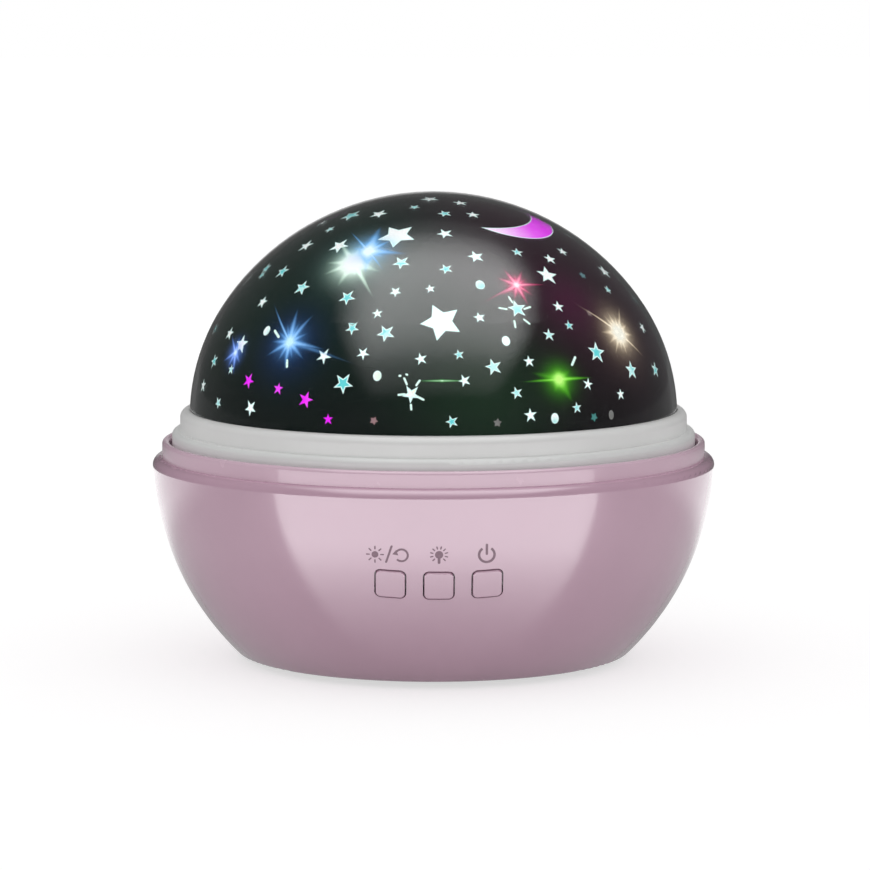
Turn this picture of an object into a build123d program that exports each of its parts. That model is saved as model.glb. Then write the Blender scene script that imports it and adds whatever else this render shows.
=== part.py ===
from build123d import *
from math import acos, asin, cos, degrees, pi, radians, sin, sqrt, tan
import os

# Star night light projector: a bowl-shaped base with a motor-driven turntable that carries a
# star-pierced dome. Millimetres, +Z up on the dome's axis, z = 0 under the feet, buttons at -Y.

# ---------------------------------------------------------------- bowl
BOWL_RADIUS = 65.3          # widest outside radius
BOTTOM_RADIUS = 45.5        # flat bottom, before its rounding
BOWL_ARC_RISE = 1.0         # centre of the side's arc above the rim
BOWL_HEIGHT = 45.8          # bottom to rim, without the feet
BOWL_WALL = 2.0
BOWL_SHOULDER = 2.0         # rounding where the side turns into the rim
BOWL_FOOT_ROUND = 1.5       # rounding where the side turns into the bottom

# ---------------------------------------------------------------- bottom cover and feet
FOOT_RADIUS = 4.5
FOOT_INSET = 7.4            # centres of the feet from the cover's edge
FOOT_ANGLE = 42             # of a foot from the X axis
FOOT_PROUD = 1.5            # how far the feet stand below the bottom
FOOT_RECESS = 0.8
FOOT_FIT = 0.15
FOOT_ROUND = 0.6
COVER_MARGIN = 3.6          # bottom flat left outside the cover
COVER_GAP = 0.2
COVER_WALL = 2.2
LEDGE_WIDTH = 2.4           # ledge of the bowl over the cover's edge
LEDGE_THICKNESS = 2.0

# ---------------------------------------------------------------- battery bay
CELL_COUNT = 3
CELL_RADIUS = 5.25          # AAA cells
CELL_LENGTH = 44.5
CELL_GAP = 0.4
CELL_CAP_RADIUS = 1.9
CELL_CAP_LENGTH = 0.8
CONTACT_SHEET = 0.4
CONTACT_BOW = 1.6           # how far a contact's leaf bows towards the cell
CONTACT_WIDTH = 7.0
CONTACT_HEIGHT = 6.0
CELL_LIFT = 0.1             # cells over the bay's floor level
BAY_WALL = 1.5
BAY_HEADROOM = 0.6
DOOR_THICKNESS = 2.0
DOOR_LAP = 1.0              # the door's margin over the bay's walls
DOOR_GAP = 0.3
DOOR_TONGUE_WIDTH = 9.0
DOOR_TONGUE_LENGTH = 7.0
DOOR_GRIP_COUNT = 5
DOOR_GRIP_PITCH = 3.0
DOOR_GRIP_DEPTH = 0.5
DOOR_SCREW_INSET = 3.3      # door screws from the tongues' ends
DOOR_SEAT = 0.1             # pocket's floor above the door

# ---------------------------------------------------------------- screws
SCREW_HEAD_RADIUS = 2.4
SCREW_HEAD_HEIGHT = 1.1
SCREW_RADIUS = 1.2
SCREW_LENGTH = 7.0
SCREW_FIT = 0.05            # radial clearance of a screw in its boss
SCREW_PASS = 0.3            # radial clearance of a screw through a plate
SCREW_SINK = 0.1            # head below the bottom's surface
BOSS_WALL = 1.9
RIB_THICKNESS = 1.6
HOUSING_SCREW_INSET = 7.3   # from the cover's edge
HOUSING_SCREW_ANGLES = (15, 165, 195, 345)
HOUSING_BOSS_HEIGHT = 11.0
DECK_SCREW_INSET = 3.3      # from the lip's bore
DECK_SCREW_ANGLES = (45, 135, 225, 315)
DECK_BOSS_HEIGHT = 15.0

# ---------------------------------------------------------------- deck with its lip, hub and hooks
LIP_SETBACK = 2.3           # lip inside the bowl's widest radius
LIP_WALL = 1.7
LIP_HEIGHT = 3.7            # lip above the bowl's rim
LIP_ROUND = 0.8
DECK_DROP = 3.3             # deck's upper face below the bowl's rim
DECK_THICKNESS = 2.0
DECK_FIT = 0.3              # skirt of the deck inside the bowl's wall
LIP_SEAT = 0.7              # how far the lip laps over the bowl's rim
RIM_BEAD = 2.0              # height of the thick edge under the lip
RIM_FIT = 0.1
WIRE_HOLE_RADIUS = 6.0
HUB_WALL = 1.9
HUB_FIT = 0.08              # turntable running on the hub
HUB_PLAY = 0.05             # turntable's end play on the hub
HOOK_COUNT = 3
HOOK_FIRST_ANGLE = 60
HOOK_ARC = 9.0              # degrees that a hook covers
HOOK_THICKNESS = 1.5
HOOK_BARB = 1.4
HOOK_HEIGHT = 1.4
HOOK_CLEARANCE = 0.35

# ---------------------------------------------------------------- drive
RING_PITCH_INSET = 10.7     # ring gear's pitch circle inside the turntable's edge
RING_TEETH = 80
PINION_TEETH = 12
PRESSURE_ANGLE = 20.0
GEAR_BACKLASH = 0.2
GEAR_ROOT_CLEARANCE = 0.25  # in modules
RING_ADDENDUM = 0.6         # in modules, short so that the ring's tips clear the pinion's roots
FLANK_STEPS = 3             # straight steps of a pinion's flank
GEAR_FACE = 5.0
PINION_OVERLAP = 0.3        # pinion longer than the ring's face at each end
PINION_CLEARANCE = 0.2      # pinion below the turntable's web
SHAFT_RADIUS = 1.5
SHAFT_FIT = 0.05
SHAFT_FLAT = 0.5
SHAFT_DEPTH = 7.0           # shaft inside the gearbox
MOTOR_DEPTH = 10.0          # along the radius
MOTOR_WIDTH = 12.0
GEARBOX_LENGTH = 9.0
CAN_LENGTH = 15.0
MOTOR_BUSH_RADIUS = 2.2
MOTOR_BUSH_HEIGHT = 0.9
MOTOR_BUSH_FIT = 0.2
MOTOR_CAP_LENGTH = 1.6
MOTOR_CAP_MARGIN = 1.0
TERMINAL_LENGTH = 2.0
TERMINAL_WIDTH = 1.6
TERMINAL_SHEET = 0.4
TERMINAL_SPAN = 6.0
BRACKET_WALL = 1.5
BRACKET_HEIGHT = 7.5
BRACKET_EAR = 5.0

# ---------------------------------------------------------------- turntable
TABLE_GAP = 0.6             # between turntable and lip
TABLE_SKIRT_WALL = 1.8
TABLE_SKIRT_DROP = 5.0      # outer skirt below the web
TABLE_WEB = 2.4
TABLE_LIFT = 2.4            # turntable's top above the lip
TABLE_ROUND = 1.2
GEAR_SKIRT_WALL = 1.8
SPIGOT_WALL = 1.5
SPIGOT_HEIGHT = 2.6
KEY_COUNT = 3
KEY_WIDTH = 5.0
KEY_DEPTH = 0.8
KEY_FIT = 0.15

# ---------------------------------------------------------------- dome
COLLAR_INSET = 1.9          # collar inside the turntable's edge
COLLAR_HEIGHT = 4.7
COLLAR_ROUND = 1.8
COLLAR_FLOOR = 1.4
COLLAR_LAND = 0.2           # flat edge left between the collar's rounding and the dome
SPIGOT_FIT = 0.08
DOME_INSET = 4.1            # dome inside the turntable's edge
DOME_HAUNCH_ARC = 47.0      # radius of the lower arc of the dome
DOME_HAUNCH_END = 56.6      # where the upper arc takes over, in degrees from the axis
DOME_UPRIGHT = 1.3          # straight foot of the dome
DOME_WALL = 1.0
DOME_FIT = 0.05
MASK_GAP = 0.05
MASK_WALL = 0.5
WINDOW_WALL = 0.3
LINER_WALL = 0.4
FILM_RING_WALL = 1.3
FILM_RING_LAP = 0.25        # film ring's bore wider than the collar's
FILM_RING_HEIGHT = 2.4

# ---------------------------------------------------------------- light
POST_BASE_RADIUS = 15.0
POST_TOP_RADIUS = 11.5
POST_HEIGHT = 14.0
POST_WALL = 1.6
POST_FLANGE_RADIUS = 19.0
POST_FLANGE_THICKNESS = 2.0
POST_SCREW_CIRCLE = 16.9
POST_SCREW_COUNT = 3
LED_BOARD_RADIUS = 11.0
LED_BOARD_THICKNESS = 1.6
LED_COUNT = 4
LED_CIRCLE = 6.0
LED_RADIUS = 2.5
LED_FLANGE = 0.4
LED_FLANGE_THICKNESS = 1.0
LED_HEIGHT = 8.6
SMALL_SCREW_HEAD_RADIUS = 1.6
SMALL_SCREW_HEAD_HEIGHT = 0.9
SMALL_SCREW_RADIUS = 0.8
SMALL_SCREW_LENGTH = 3.4
SLOT_LENGTH = 0.6           # cross slot of a screw, as shares of its head
SLOT_WIDTH = 0.15
SLOT_DEPTH = 0.5
CORNER_LAND = 0.1           # straight length left between rounded corners

# ---------------------------------------------------------------- buttons
BUTTON_COUNT = 3
BUTTON_SIDE = 6.4
BUTTON_CORNER = 1.1
BUTTON_EDGE = 0.3           # rounding about the button's face
BUTTON_PITCH = 10.6
BUTTON_HEIGHT = 25.7        # centre of the row above the feet's underside
BUTTON_PROUD = 0.4
BUTTON_GAP = 0.3
BUTTON_TRAVEL = 0.8
BUTTON_STEM = 5.4           # bowl's surface to the flange at the row's middle
BUTTON_FLANGE = 1.0
BUTTON_FLANGE_THICKNESS = 1.0
SWITCH_SIDE = 6.0
SWITCH_CORNER = 0.5
SWITCH_HEIGHT = 3.5
PLUNGER_RADIUS = 1.7
PLUNGER_HEIGHT = 1.5
PLUNGER_FIT = 0.06
PLUNGER_GUIDE = 1.5         # plunger inside the switch
SWITCH_SLACK = 0.2          # room under the pressed plunger
KEY_BOARD_WIDTH = 50.0
KEY_BOARD_HEIGHT = 12.0
BOARD_THICKNESS = 1.2
KEY_BOARD_SCREW_SPAN = 40.0

# ---------------------------------------------------------------- main board
MAIN_BOARD_WIDTH = 30.0
MAIN_BOARD_LENGTH = 42.0
STANDOFF_HEIGHT = 2.4
STANDOFF_RADIUS = 2.2
BOARD_SCREW_INSET = 3.4
CHIP_SIZE = (7.5, 10.3, 1.8)
CHIP_PLACE = (-2.0, 4.0)
PLUG_SIZE = (8.0, 5.0, 5.6)
PLUG_PLACES = ((0.0, -16.0), (0.0, 16.0))
COIL_RADIUS = 3.2
COIL_HEIGHT = 7.0
COIL_PLACE = (8.0, -4.5)
CHIP_SMALL_SIZE = (3.0, 3.0, 1.2)
CHIP_SMALL_PLACES = ((-8.0, -6.0), (-2.0, -7.0), (8.0, 7.0))

# ---------------------------------------------------------------- power socket
SOCKET_HEIGHT = 20.0        # centre of the socket above the feet's underside
SOCKET_WIDTH = 7.5
SOCKET_THICKNESS = 2.9
SOCKET_DEPTH = 5.6
SOCKET_SHEET = 0.35
SOCKET_TONGUE_WIDTH = 4.0
SOCKET_TONGUE_THICKNESS = 0.6
SOCKET_OVERHANG = 1.2       # mouth of the socket past its board
SOCKET_BOARD_SETBACK = 0.8  # board behind the wall
SOCKET_SCREW_INSET = 2.0
PLUG_WINDOW_WIDTH = 11.5
PLUG_WINDOW_HEIGHT = 7.0
PLUG_WINDOW_CORNER = 2.0
SOCKET_BOARD_WIDTH = 14.0
SOCKET_BOARD_LENGTH = 12.0
SOCKET_SHELF_MARGIN = 1.0
SOCKET_SHELF_THICKNESS = 3.2

# ---------------------------------------------------------------- star map
STAR_WAIST = 0.55           # inner corners as a share of the tips' radius
DISC_STRETCH = 1.2          # height of an oval spot over its width
CUT_DEPTH = 2.0             # how far a cutter reaches to each side of the mask
CUTS_AT_ONCE = 8
GEL_MARGIN = 0.5            # coloured film past the tips of its star
MAP_SPREAD = 1.026          # the mask lies inside the cover, so its map is spread a little
MAP_TURN = -1.1             # of the whole map about the axis, in degrees
MOON_AZIMUTH = 50
MOON_ELEVATION = 66
MOON_TURN = -22
MOON_RADIUS = 12.6
MOON_BITE_RADIUS = 14.6
MOON_BITE_SHIFT = 7.9
HALF_TURN = 180

# Each star: azimuth and elevation in degrees, span across its tips in mm, turn in degrees.
# Azimuth 0 faces -Y and grows towards +X. The map is repeated on the dome's other half.
WHITE_STARS = (
    (-57, 49, 3.7, -14), (-39, 50, 4.6, 13), (-55, 31, 3.0, 2), (-36, 65, 3.9, 0),
    (-5, 77, 4.0, -34), (26, 73, 3.2, 13), (-16, 55, 9.0, 33), (5, 56, 3.5, -22),
    (-27, 44, 6.4, 16), (-11, 36, 2.6, 31), (-1, 37, 2.2, -12), (-15, 30, 2.3, -12),
    (25, 65, 3.0, 20), (15, 47, 3.6, -10), (44, 45, 3.0, 19), (54, 47, 2.6, -34),
    (38, 40, 5.0, 16), (69, 39, 3.8, 35), (36, 31, 2.7, 12), (12, 29, 2.6, -9),
    (-63, 22, 3.0, -2), (-55, 20, 4.4, -5), (-27, 19, 3.3, 24), (-46, 6, 3.4, -33),
    (-17, 20, 2.7, 28), (-3, 19, 2.6, -15), (7, 14, 2.6, -21), (2, 28, 9.6, -23),
    (23, 18, 2.5, 0), (38, 12, 2.5, 16), (22, 6, 2.9, -3), (55, 23, 4.4, -33),
    (68, 23, 2.6, -10), (48, 9, 2.4, 3), (80, 52, 3.4, 10), (86, 16, 3.2, -20),
    (95, 36, 5.6, 5), (104, 58, 2.8, 30), (106, 9, 3.0, -8), (23, 31, 4.3, -4),
    (-5, 11, 3.8, -31), (-37, 22, 3.0, -20),
)
CYAN_STARS = (
    (-55, 56, 2.4, 15), (-56, 40, 3.5, -10), (-67, 38, 2.2, 15), (-42, 36, 3.8, 4),
    (-56, 63, 4.8, 4), (-15, 70, 2.4, 21), (7, 66, 3.0, -16), (-11, 45, 3.8, 35),
    (4, 43, 2.9, -23), (-25, 34, 3.7, 25), (32, 48, 2.6, 17), (61, 34, 2.2, 33),
    (-66, 15, 3.0, -22), (-56, 14, 2.2, -6), (-59, 6, 2.5, -34), (-21, 26, 3.0, 30),
    (-12, 25, 3.9, -31), (-21, 13, 4.4, 30), (6, 20, 2.2, -11), (4, 5, 2.6, -19),
    (30, 24, 2.7, 10), (37, 26, 2.2, 8), (43, 19, 4.6, 13), (14, 17, 3.6, -13),
    (19, 11, 2.6, -14), (34, 7, 2.3, -3), (54, 14, 4.0, 8), (66, 13, 3.4, 18),
    (78, 30, 3.2, -5), (99, 22, 2.8, 12), (107, 40, 3.0, -30),
)
MAGENTA_STARS = (
    (-48, 12, 3.2, 20), (-38, 11, 2.5, 4), (-30, 9, 3.4, 16), (-24, 5, 2.2, -3), (90, 6, 2.8, 15),
)
OVAL_SPOTS = ((14, 38, 2.4), (-47, 24, 2.2), (-13, 15, 2.2), (18, 23, 2.2), (28, 5, 2.2))

# ---------------------------------------------------------------- derived levels and radii
BOTTOM_Z = FOOT_PROUD
RIM_Z = BOTTOM_Z + BOWL_HEIGHT
ARC_Z = RIM_Z + BOWL_ARC_RISE
BOWL_SPREAD = BOWL_RADIUS - BOTTOM_RADIUS
BOWL_ARC = (BOWL_SPREAD ** 2 + (ARC_Z - BOTTOM_Z) ** 2) / (2 * BOWL_SPREAD)
ARC_R = BOWL_RADIUS - BOWL_ARC
LIP_TOP_Z = RIM_Z + LIP_HEIGHT
LIP_OUTER_RADIUS = BOWL_RADIUS - LIP_SETBACK
LIP_INNER_RADIUS = LIP_OUTER_RADIUS - LIP_WALL
DECK_Z = RIM_Z - DECK_DROP
DECK_LOW_Z = DECK_Z - DECK_THICKNESS
DECK_SCREW_CIRCLE = LIP_INNER_RADIUS - DECK_SCREW_INSET
TABLE_RADIUS = LIP_INNER_RADIUS - TABLE_GAP
TABLE_TOP_Z = LIP_TOP_Z + TABLE_LIFT
WEB_Z = TABLE_TOP_Z - TABLE_WEB
HUB_TOP_Z = WEB_Z - HUB_PLAY

RING_PITCH_RADIUS = TABLE_RADIUS - RING_PITCH_INSET
GEAR_MODULE = 2 * RING_PITCH_RADIUS / RING_TEETH
PINION_PITCH_RADIUS = GEAR_MODULE * PINION_TEETH / 2
RING_TIP_RADIUS = RING_PITCH_RADIUS - GEAR_MODULE * RING_ADDENDUM
RING_ROOT_RADIUS = RING_PITCH_RADIUS + GEAR_MODULE * (1 + GEAR_ROOT_CLEARANCE)
PINION_TIP_RADIUS = PINION_PITCH_RADIUS + GEAR_MODULE
PINION_ROOT_RADIUS = PINION_PITCH_RADIUS - GEAR_MODULE * (1 + GEAR_ROOT_CLEARANCE)
PINION_X = RING_PITCH_RADIUS - PINION_PITCH_RADIUS
GEAR_TOP_Z = WEB_Z - PINION_OVERLAP - PINION_CLEARANCE
GEAR_LOW_Z = GEAR_TOP_Z - GEAR_FACE
GEAR_SKIRT_RADIUS = RING_ROOT_RADIUS + GEAR_SKIRT_WALL
HUB_INNER_RADIUS = GEAR_SKIRT_RADIUS + HUB_FIT
HUB_OUTER_RADIUS = HUB_INNER_RADIUS + HUB_WALL

COLLAR_Z = TABLE_TOP_Z
COLLAR_RADIUS = TABLE_RADIUS - COLLAR_INSET
DOME_RADIUS = TABLE_RADIUS - DOME_INSET
DOME_SEAT_Z = COLLAR_Z + COLLAR_FLOOR
DOME_EQUATOR_Z = DOME_SEAT_Z + DOME_UPRIGHT
HAUNCH_R = DOME_RADIUS - DOME_HAUNCH_ARC
HAUNCH_ANGLE = radians(DOME_HAUNCH_END)
DOME_TOP_ARC = DOME_HAUNCH_ARC + HAUNCH_R / sin(HAUNCH_ANGLE)
TOP_ARC_DROP = HAUNCH_R / tan(HAUNCH_ANGLE)
MASK_INSET = DOME_WALL + MASK_GAP
WINDOW_INSET = MASK_INSET + MASK_WALL
LINER_INSET = WINDOW_INSET + WINDOW_WALL
FILM_RING_RADIUS = DOME_RADIUS - LINER_INSET - LINER_WALL - DOME_FIT
COLLAR_BORE = FILM_RING_RADIUS - FILM_RING_WALL
SPIGOT_RADIUS = COLLAR_BORE - SPIGOT_FIT
TABLE_BORE = SPIGOT_RADIUS - SPIGOT_WALL

BAY_WIDTH = CELL_COUNT * (2 * CELL_RADIUS + CELL_GAP) + CELL_GAP
BAY_LENGTH = CELL_LENGTH + 2 * (CONTACT_BOW + 2 * CONTACT_SHEET)
BAY_FLOOR_Z = BOTTOM_Z + DOOR_THICKNESS + DOOR_SEAT
BAY_TOP_Z = BAY_FLOOR_Z + 2 * CELL_RADIUS + BAY_HEADROOM
BAY_ROOF_Z = BAY_TOP_Z + BAY_WALL
BOARD_Z = BAY_ROOF_Z + STANDOFF_HEIGHT
BOSS_RADIUS = SCREW_RADIUS + BOSS_WALL

UP = (Align.CENTER, Align.CENTER, Align.MIN)


# ---------------------------------------------------------------- shared shapes
def post(radius, low, high, x=0, y=0):
    """Upright cylinder between two levels."""
    return Pos(x, y, low) * Cylinder(radius, high - low, align=UP)


def ring(inner, outer, low, high):
    """Ring about the dome's axis between two levels."""
    return post(outer, low, high) - post(inner, low - 1, high + 1)


def block(width, length, low, high, x=0, y=0):
    """Upright box between two levels, centred on x and y."""
    return Pos(x, y, low) * Box(width, length, high - low, align=UP)


def rounded_block(width, length, corner, low, high):
    """Upright block with rounded corners between two levels."""
    radius = min(corner, width / 2 - CORNER_LAND, length / 2 - CORNER_LAND)
    return extrude(Pos(0, 0, low) * RectangleRounded(width, length, radius), high - low)


def spot(radius, angle):
    """Point on a circle about the axis, angle in degrees from +X."""
    return radius * cos(radians(angle)), radius * sin(radians(angle))


def outline(points):
    """Face inside a closed line of points."""
    return make_face(Polyline(*points, close=True))


def about_axis(shape, angles):
    """Copies of a shape turned to each angle about the axis."""
    return [Rot(0, 0, angle) * shape for angle in angles]


def around(count, first=0):
    """Evenly spaced angles about the axis."""
    return [first + index * 360 / count for index in range(count)]


def joined(shapes):
    """One shape that holds every piece of a group."""
    return Compound(children=[solid for shape in shapes for solid in shape.solids()])


def screw(head_radius, head_height, radius, length):
    """Screw that points up from its head, with the head's bearing face at zero."""
    head = post(head_radius, -head_height, 0)
    span = 2 * head_radius
    slot = block(SLOT_LENGTH * span, SLOT_WIDTH * span, -head_height, (SLOT_DEPTH - 1) * head_height)
    cross = Rot(0, 0, 90) * slot
    return head + post(radius, 0, length) - slot - cross


def big_screw():
    """Screw that holds the housing, deck, door and button board."""
    return screw(SCREW_HEAD_RADIUS, SCREW_HEAD_HEIGHT, SCREW_RADIUS, SCREW_LENGTH)


def small_screw():
    """Screw that holds boards, bracket and light post."""
    return screw(SMALL_SCREW_HEAD_RADIUS, SMALL_SCREW_HEAD_HEIGHT, SMALL_SCREW_RADIUS,
                 SMALL_SCREW_LENGTH)


def turned_over(shape):
    """The same screw pointing down."""
    return Rot(180, 0, 0) * shape


# ---------------------------------------------------------------- bowl
def bowl_side(level, inset=0):
    """Radius of the bowl's side at a level, drawn in by an inset."""
    return ARC_R + sqrt((BOWL_ARC - inset) ** 2 - (level - ARC_Z) ** 2)


def bowl_body(inset, low, high, foot_round=0, shoulder_round=0):
    """Turned body that follows the bowl's side between two levels."""
    middle = (low + high) / 2
    side = ThreePointArc((bowl_side(low, inset), low), (bowl_side(middle, inset), middle),
                         (bowl_side(high, inset), high))
    rest = Polyline((bowl_side(high, inset), high), (0, high), (0, low),
                    (bowl_side(low, inset), low))
    face = make_face([*side.edges(), *rest.edges()])
    for radius, level in ((foot_round, low), (shoulder_round, high)):
        if radius:
            corner = face.vertices().sort_by_distance((bowl_side(level, inset), level, 0))[0]
            face = fillet(corner, radius)
    return revolve(Plane.XZ * face, Axis.Z)


COVER_RADIUS = BOTTOM_RADIUS - COVER_MARGIN
HOUSING_SCREW_CIRCLE = COVER_RADIUS - HOUSING_SCREW_INSET
COVER_TOP_Z = BOTTOM_Z + COVER_WALL
LEDGE_TOP_Z = COVER_TOP_Z + LEDGE_THICKNESS
LEDGE_RADIUS = COVER_RADIUS + COVER_GAP - LEDGE_WIDTH
DECK_SKIRT_RADIUS = min(LIP_OUTER_RADIUS - LIP_SEAT, bowl_side(DECK_LOW_Z, BOWL_WALL) - DECK_FIT)

BUTTON_TILT = asin((ARC_Z - BUTTON_HEIGHT) / BOWL_ARC)
BUTTON_PLANE = Plane(origin=(0, -bowl_side(BUTTON_HEIGHT), BUTTON_HEIGHT), x_dir=(1, 0, 0),
                     z_dir=(0, -cos(BUTTON_TILT), -sin(BUTTON_TILT)))
BUTTON_PLACES = tuple((index - (BUTTON_COUNT - 1) / 2) * BUTTON_PITCH
                      for index in range(BUTTON_COUNT))
SLEEVE_WALL = (BUTTON_PITCH - BUTTON_SIDE - 2 * BUTTON_GAP) / 2 - BUTTON_GAP
FLANGE_OUT = -BUTTON_STEM
FLANGE_IN = FLANGE_OUT - BUTTON_FLANGE_THICKNESS
SWITCH_OUT = FLANGE_IN - PLUNGER_HEIGHT
KEY_BOARD_OUT = SWITCH_OUT - SWITCH_HEIGHT
KEY_BOARD_IN = KEY_BOARD_OUT - BOARD_THICKNESS
SOCKET_WALL_Y = bowl_side(SOCKET_HEIGHT - PLUG_WINDOW_HEIGHT / 2, BOWL_WALL)
SOCKET_FRONT_Y = SOCKET_WALL_Y - SOCKET_BOARD_SETBACK
SOCKET_BOARD_Z = SOCKET_HEIGHT - SOCKET_THICKNESS / 2


def at_buttons(shape, x=0):
    """Places a shape in the plane of the button row, its +Z pointing out of the bowl."""
    return BUTTON_PLANE * (Pos(x, 0, 0) * shape)


def button_windows():
    """Openings of the buttons through the bowl's wall."""
    side = BUTTON_SIDE + 2 * BUTTON_GAP
    hole = rounded_block(side, side, BUTTON_CORNER + BUTTON_GAP, FLANGE_OUT - BUTTON_STEM, BUTTON_STEM)
    return [at_buttons(hole, x) for x in BUTTON_PLACES]


def button_sleeves():
    """Short square tubes behind the wall that guide the buttons."""
    side = BUTTON_SIDE + 2 * (BUTTON_GAP + SLEEVE_WALL)
    tube = rounded_block(side, side, BUTTON_CORNER, FLANGE_OUT, BUTTON_STEM)
    return [at_buttons(tube, x) for x in BUTTON_PLACES]


def key_board_bosses():
    """Two posts inside the front wall that carry the button board."""
    tube = post(BOSS_RADIUS, KEY_BOARD_OUT, BUTTON_STEM)
    return [at_buttons(tube, side * KEY_BOARD_SCREW_SPAN / 2) for side in (-1, 1)]


def key_board_bores():
    """Screw bores of the button board's posts."""
    bore = post(SCREW_RADIUS + SCREW_FIT, KEY_BOARD_OUT - 1, KEY_BOARD_IN + SCREW_LENGTH + SCREW_PASS)
    return [at_buttons(bore, side * KEY_BOARD_SCREW_SPAN / 2) for side in (-1, 1)]


def housing_bosses():
    """Posts over the bottom cover for the housing screws, each tied to the wall by a rib."""
    top = COVER_TOP_Z + HOUSING_BOSS_HEIGHT
    reach = bowl_side(top) - HOUSING_SCREW_CIRCLE
    rib = block(reach, RIB_THICKNESS, COVER_TOP_Z, top, HOUSING_SCREW_CIRCLE + reach / 2)
    boss = post(BOSS_RADIUS, COVER_TOP_Z, top, HOUSING_SCREW_CIRCLE) + rib
    return about_axis(boss, HOUSING_SCREW_ANGLES)


def deck_bosses():
    """Posts inside the side wall that carry the deck."""
    low = DECK_LOW_Z - DECK_BOSS_HEIGHT
    reach = BOWL_RADIUS - DECK_SCREW_CIRCLE
    rib = block(reach, RIB_THICKNESS, low, DECK_LOW_Z, DECK_SCREW_CIRCLE + reach / 2)
    boss = post(BOSS_RADIUS, low, DECK_LOW_Z, DECK_SCREW_CIRCLE) + rib
    return about_axis(boss, DECK_SCREW_ANGLES)


def boss_bores():
    """Screw bores of the housing and deck posts."""
    radius = SCREW_RADIUS + SCREW_FIT
    housing = post(radius, BOTTOM_Z, BOTTOM_Z + COVER_WALL + SCREW_LENGTH, HOUSING_SCREW_CIRCLE)
    deck = post(radius, DECK_Z - SCREW_LENGTH - SCREW_PASS, DECK_Z, DECK_SCREW_CIRCLE)
    return about_axis(housing, HOUSING_SCREW_ANGLES) + about_axis(deck, DECK_SCREW_ANGLES)


def socket_shelf():
    """Shelf behind the back wall that carries the socket's board."""
    top = SOCKET_BOARD_Z - BOARD_THICKNESS
    inner = SOCKET_FRONT_Y - SOCKET_BOARD_LENGTH
    width = SOCKET_BOARD_WIDTH + 2 * SOCKET_SHELF_MARGIN
    middle = (BOWL_RADIUS + inner) / 2
    return block(width, BOWL_RADIUS - inner, top - SOCKET_SHELF_THICKNESS, top, 0, middle)


def socket_screw_places():
    """Places of the two screws that hold the socket's board."""
    y = SOCKET_FRONT_Y - SOCKET_BOARD_LENGTH + SOCKET_SCREW_INSET
    return [(side * (SOCKET_BOARD_WIDTH / 2 - SOCKET_SCREW_INSET), y) for side in (-1, 1)]


def plug_window():
    """Opening in the back wall for the plug's body."""
    hole = rounded_block(PLUG_WINDOW_WIDTH, PLUG_WINDOW_HEIGHT, PLUG_WINDOW_CORNER,
                         -BOWL_RADIUS, -SOCKET_FRONT_Y)
    return Pos(0, 0, SOCKET_HEIGHT) * (Rot(90, 0, 0) * hole)


def base_bowl():
    """Round bowl of the base with its ledge, posts, button sleeves and socket shelf."""
    outside = bowl_body(0, BOTTOM_Z, RIM_Z, BOWL_FOOT_ROUND, BOWL_SHOULDER)
    shell = outside - bowl_body(BOWL_WALL, LEDGE_TOP_Z, RIM_Z - RIM_BEAD)
    shell = shell - post(DECK_SKIRT_RADIUS + RIM_FIT, RIM_Z - RIM_BEAD - 1, RIM_Z + 1)
    shell = shell - post(LEDGE_RADIUS, BOTTOM_Z - 1, LEDGE_TOP_Z + 1)
    shell = shell - post(COVER_RADIUS + COVER_GAP, BOTTOM_Z - 1, COVER_TOP_Z)
    inner_parts = (button_sleeves() + key_board_bosses() + housing_bosses() + deck_bosses()
                   + [socket_shelf()])
    for part in inner_parts:
        shell = shell + (part & outside)
    bores = [post(SMALL_SCREW_RADIUS + SCREW_FIT, SOCKET_BOARD_Z - BOARD_THICKNESS - SMALL_SCREW_LENGTH,
                  SOCKET_BOARD_Z, x, y) for x, y in socket_screw_places()]
    return shell - (button_windows() + key_board_bores() + boss_bores() + bores + [plug_window()])


# ---------------------------------------------------------------- bottom cover, door and cells
def door_outline(margin):
    """Face of the battery door with its two screw tongues, grown by a margin."""
    width = BAY_WIDTH + 2 * (DOOR_LAP + margin)
    length = BAY_LENGTH + 2 * (DOOR_LAP + margin)
    plate = RectangleRounded(width, length, DOOR_LAP + margin)
    tongue = Rectangle(DOOR_TONGUE_WIDTH + 2 * margin, length + 2 * DOOR_TONGUE_LENGTH)
    return plate + tongue


DOOR_TOP_Z = BOTTOM_Z + DOOR_THICKNESS
DOOR_SCREW_Y = BAY_LENGTH / 2 + DOOR_LAP + DOOR_TONGUE_LENGTH - DOOR_SCREW_INSET
SCREW_SEAT_Z = BOTTOM_Z + SCREW_HEAD_HEIGHT + SCREW_SINK


def door_screw_places():
    """Places of the two door screws."""
    return [(0, side * DOOR_SCREW_Y) for side in (-1, 1)]


def battery_bay():
    """Box over the bottom cover that holds the cells, with a post at each end for the door."""
    width = BAY_WIDTH + 2 * BAY_WALL
    length = BAY_LENGTH + 2 * BAY_WALL
    pad_top = COVER_TOP_Z + BAY_WALL
    bay = block(width, length, BOTTOM_Z, BAY_ROOF_Z)
    bay = bay + block(width + 2 * BAY_WALL, length + 2 * BAY_WALL, BOTTOM_Z, pad_top)
    pad_length = length + 2 * (DOOR_TONGUE_LENGTH + DOOR_GAP)
    bay = bay + block(DOOR_TONGUE_WIDTH + 3 * BAY_WALL, pad_length, BOTTOM_Z, pad_top)
    for x, y in door_screw_places():
        bay = bay + post(BOSS_RADIUS, COVER_TOP_Z, SCREW_SEAT_Z + SCREW_LENGTH + BAY_WALL, x, y)
    for x, y in board_screw_places():
        bay = bay + post(STANDOFF_RADIUS, BAY_TOP_Z, BOARD_Z, x, y)
    return bay


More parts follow.
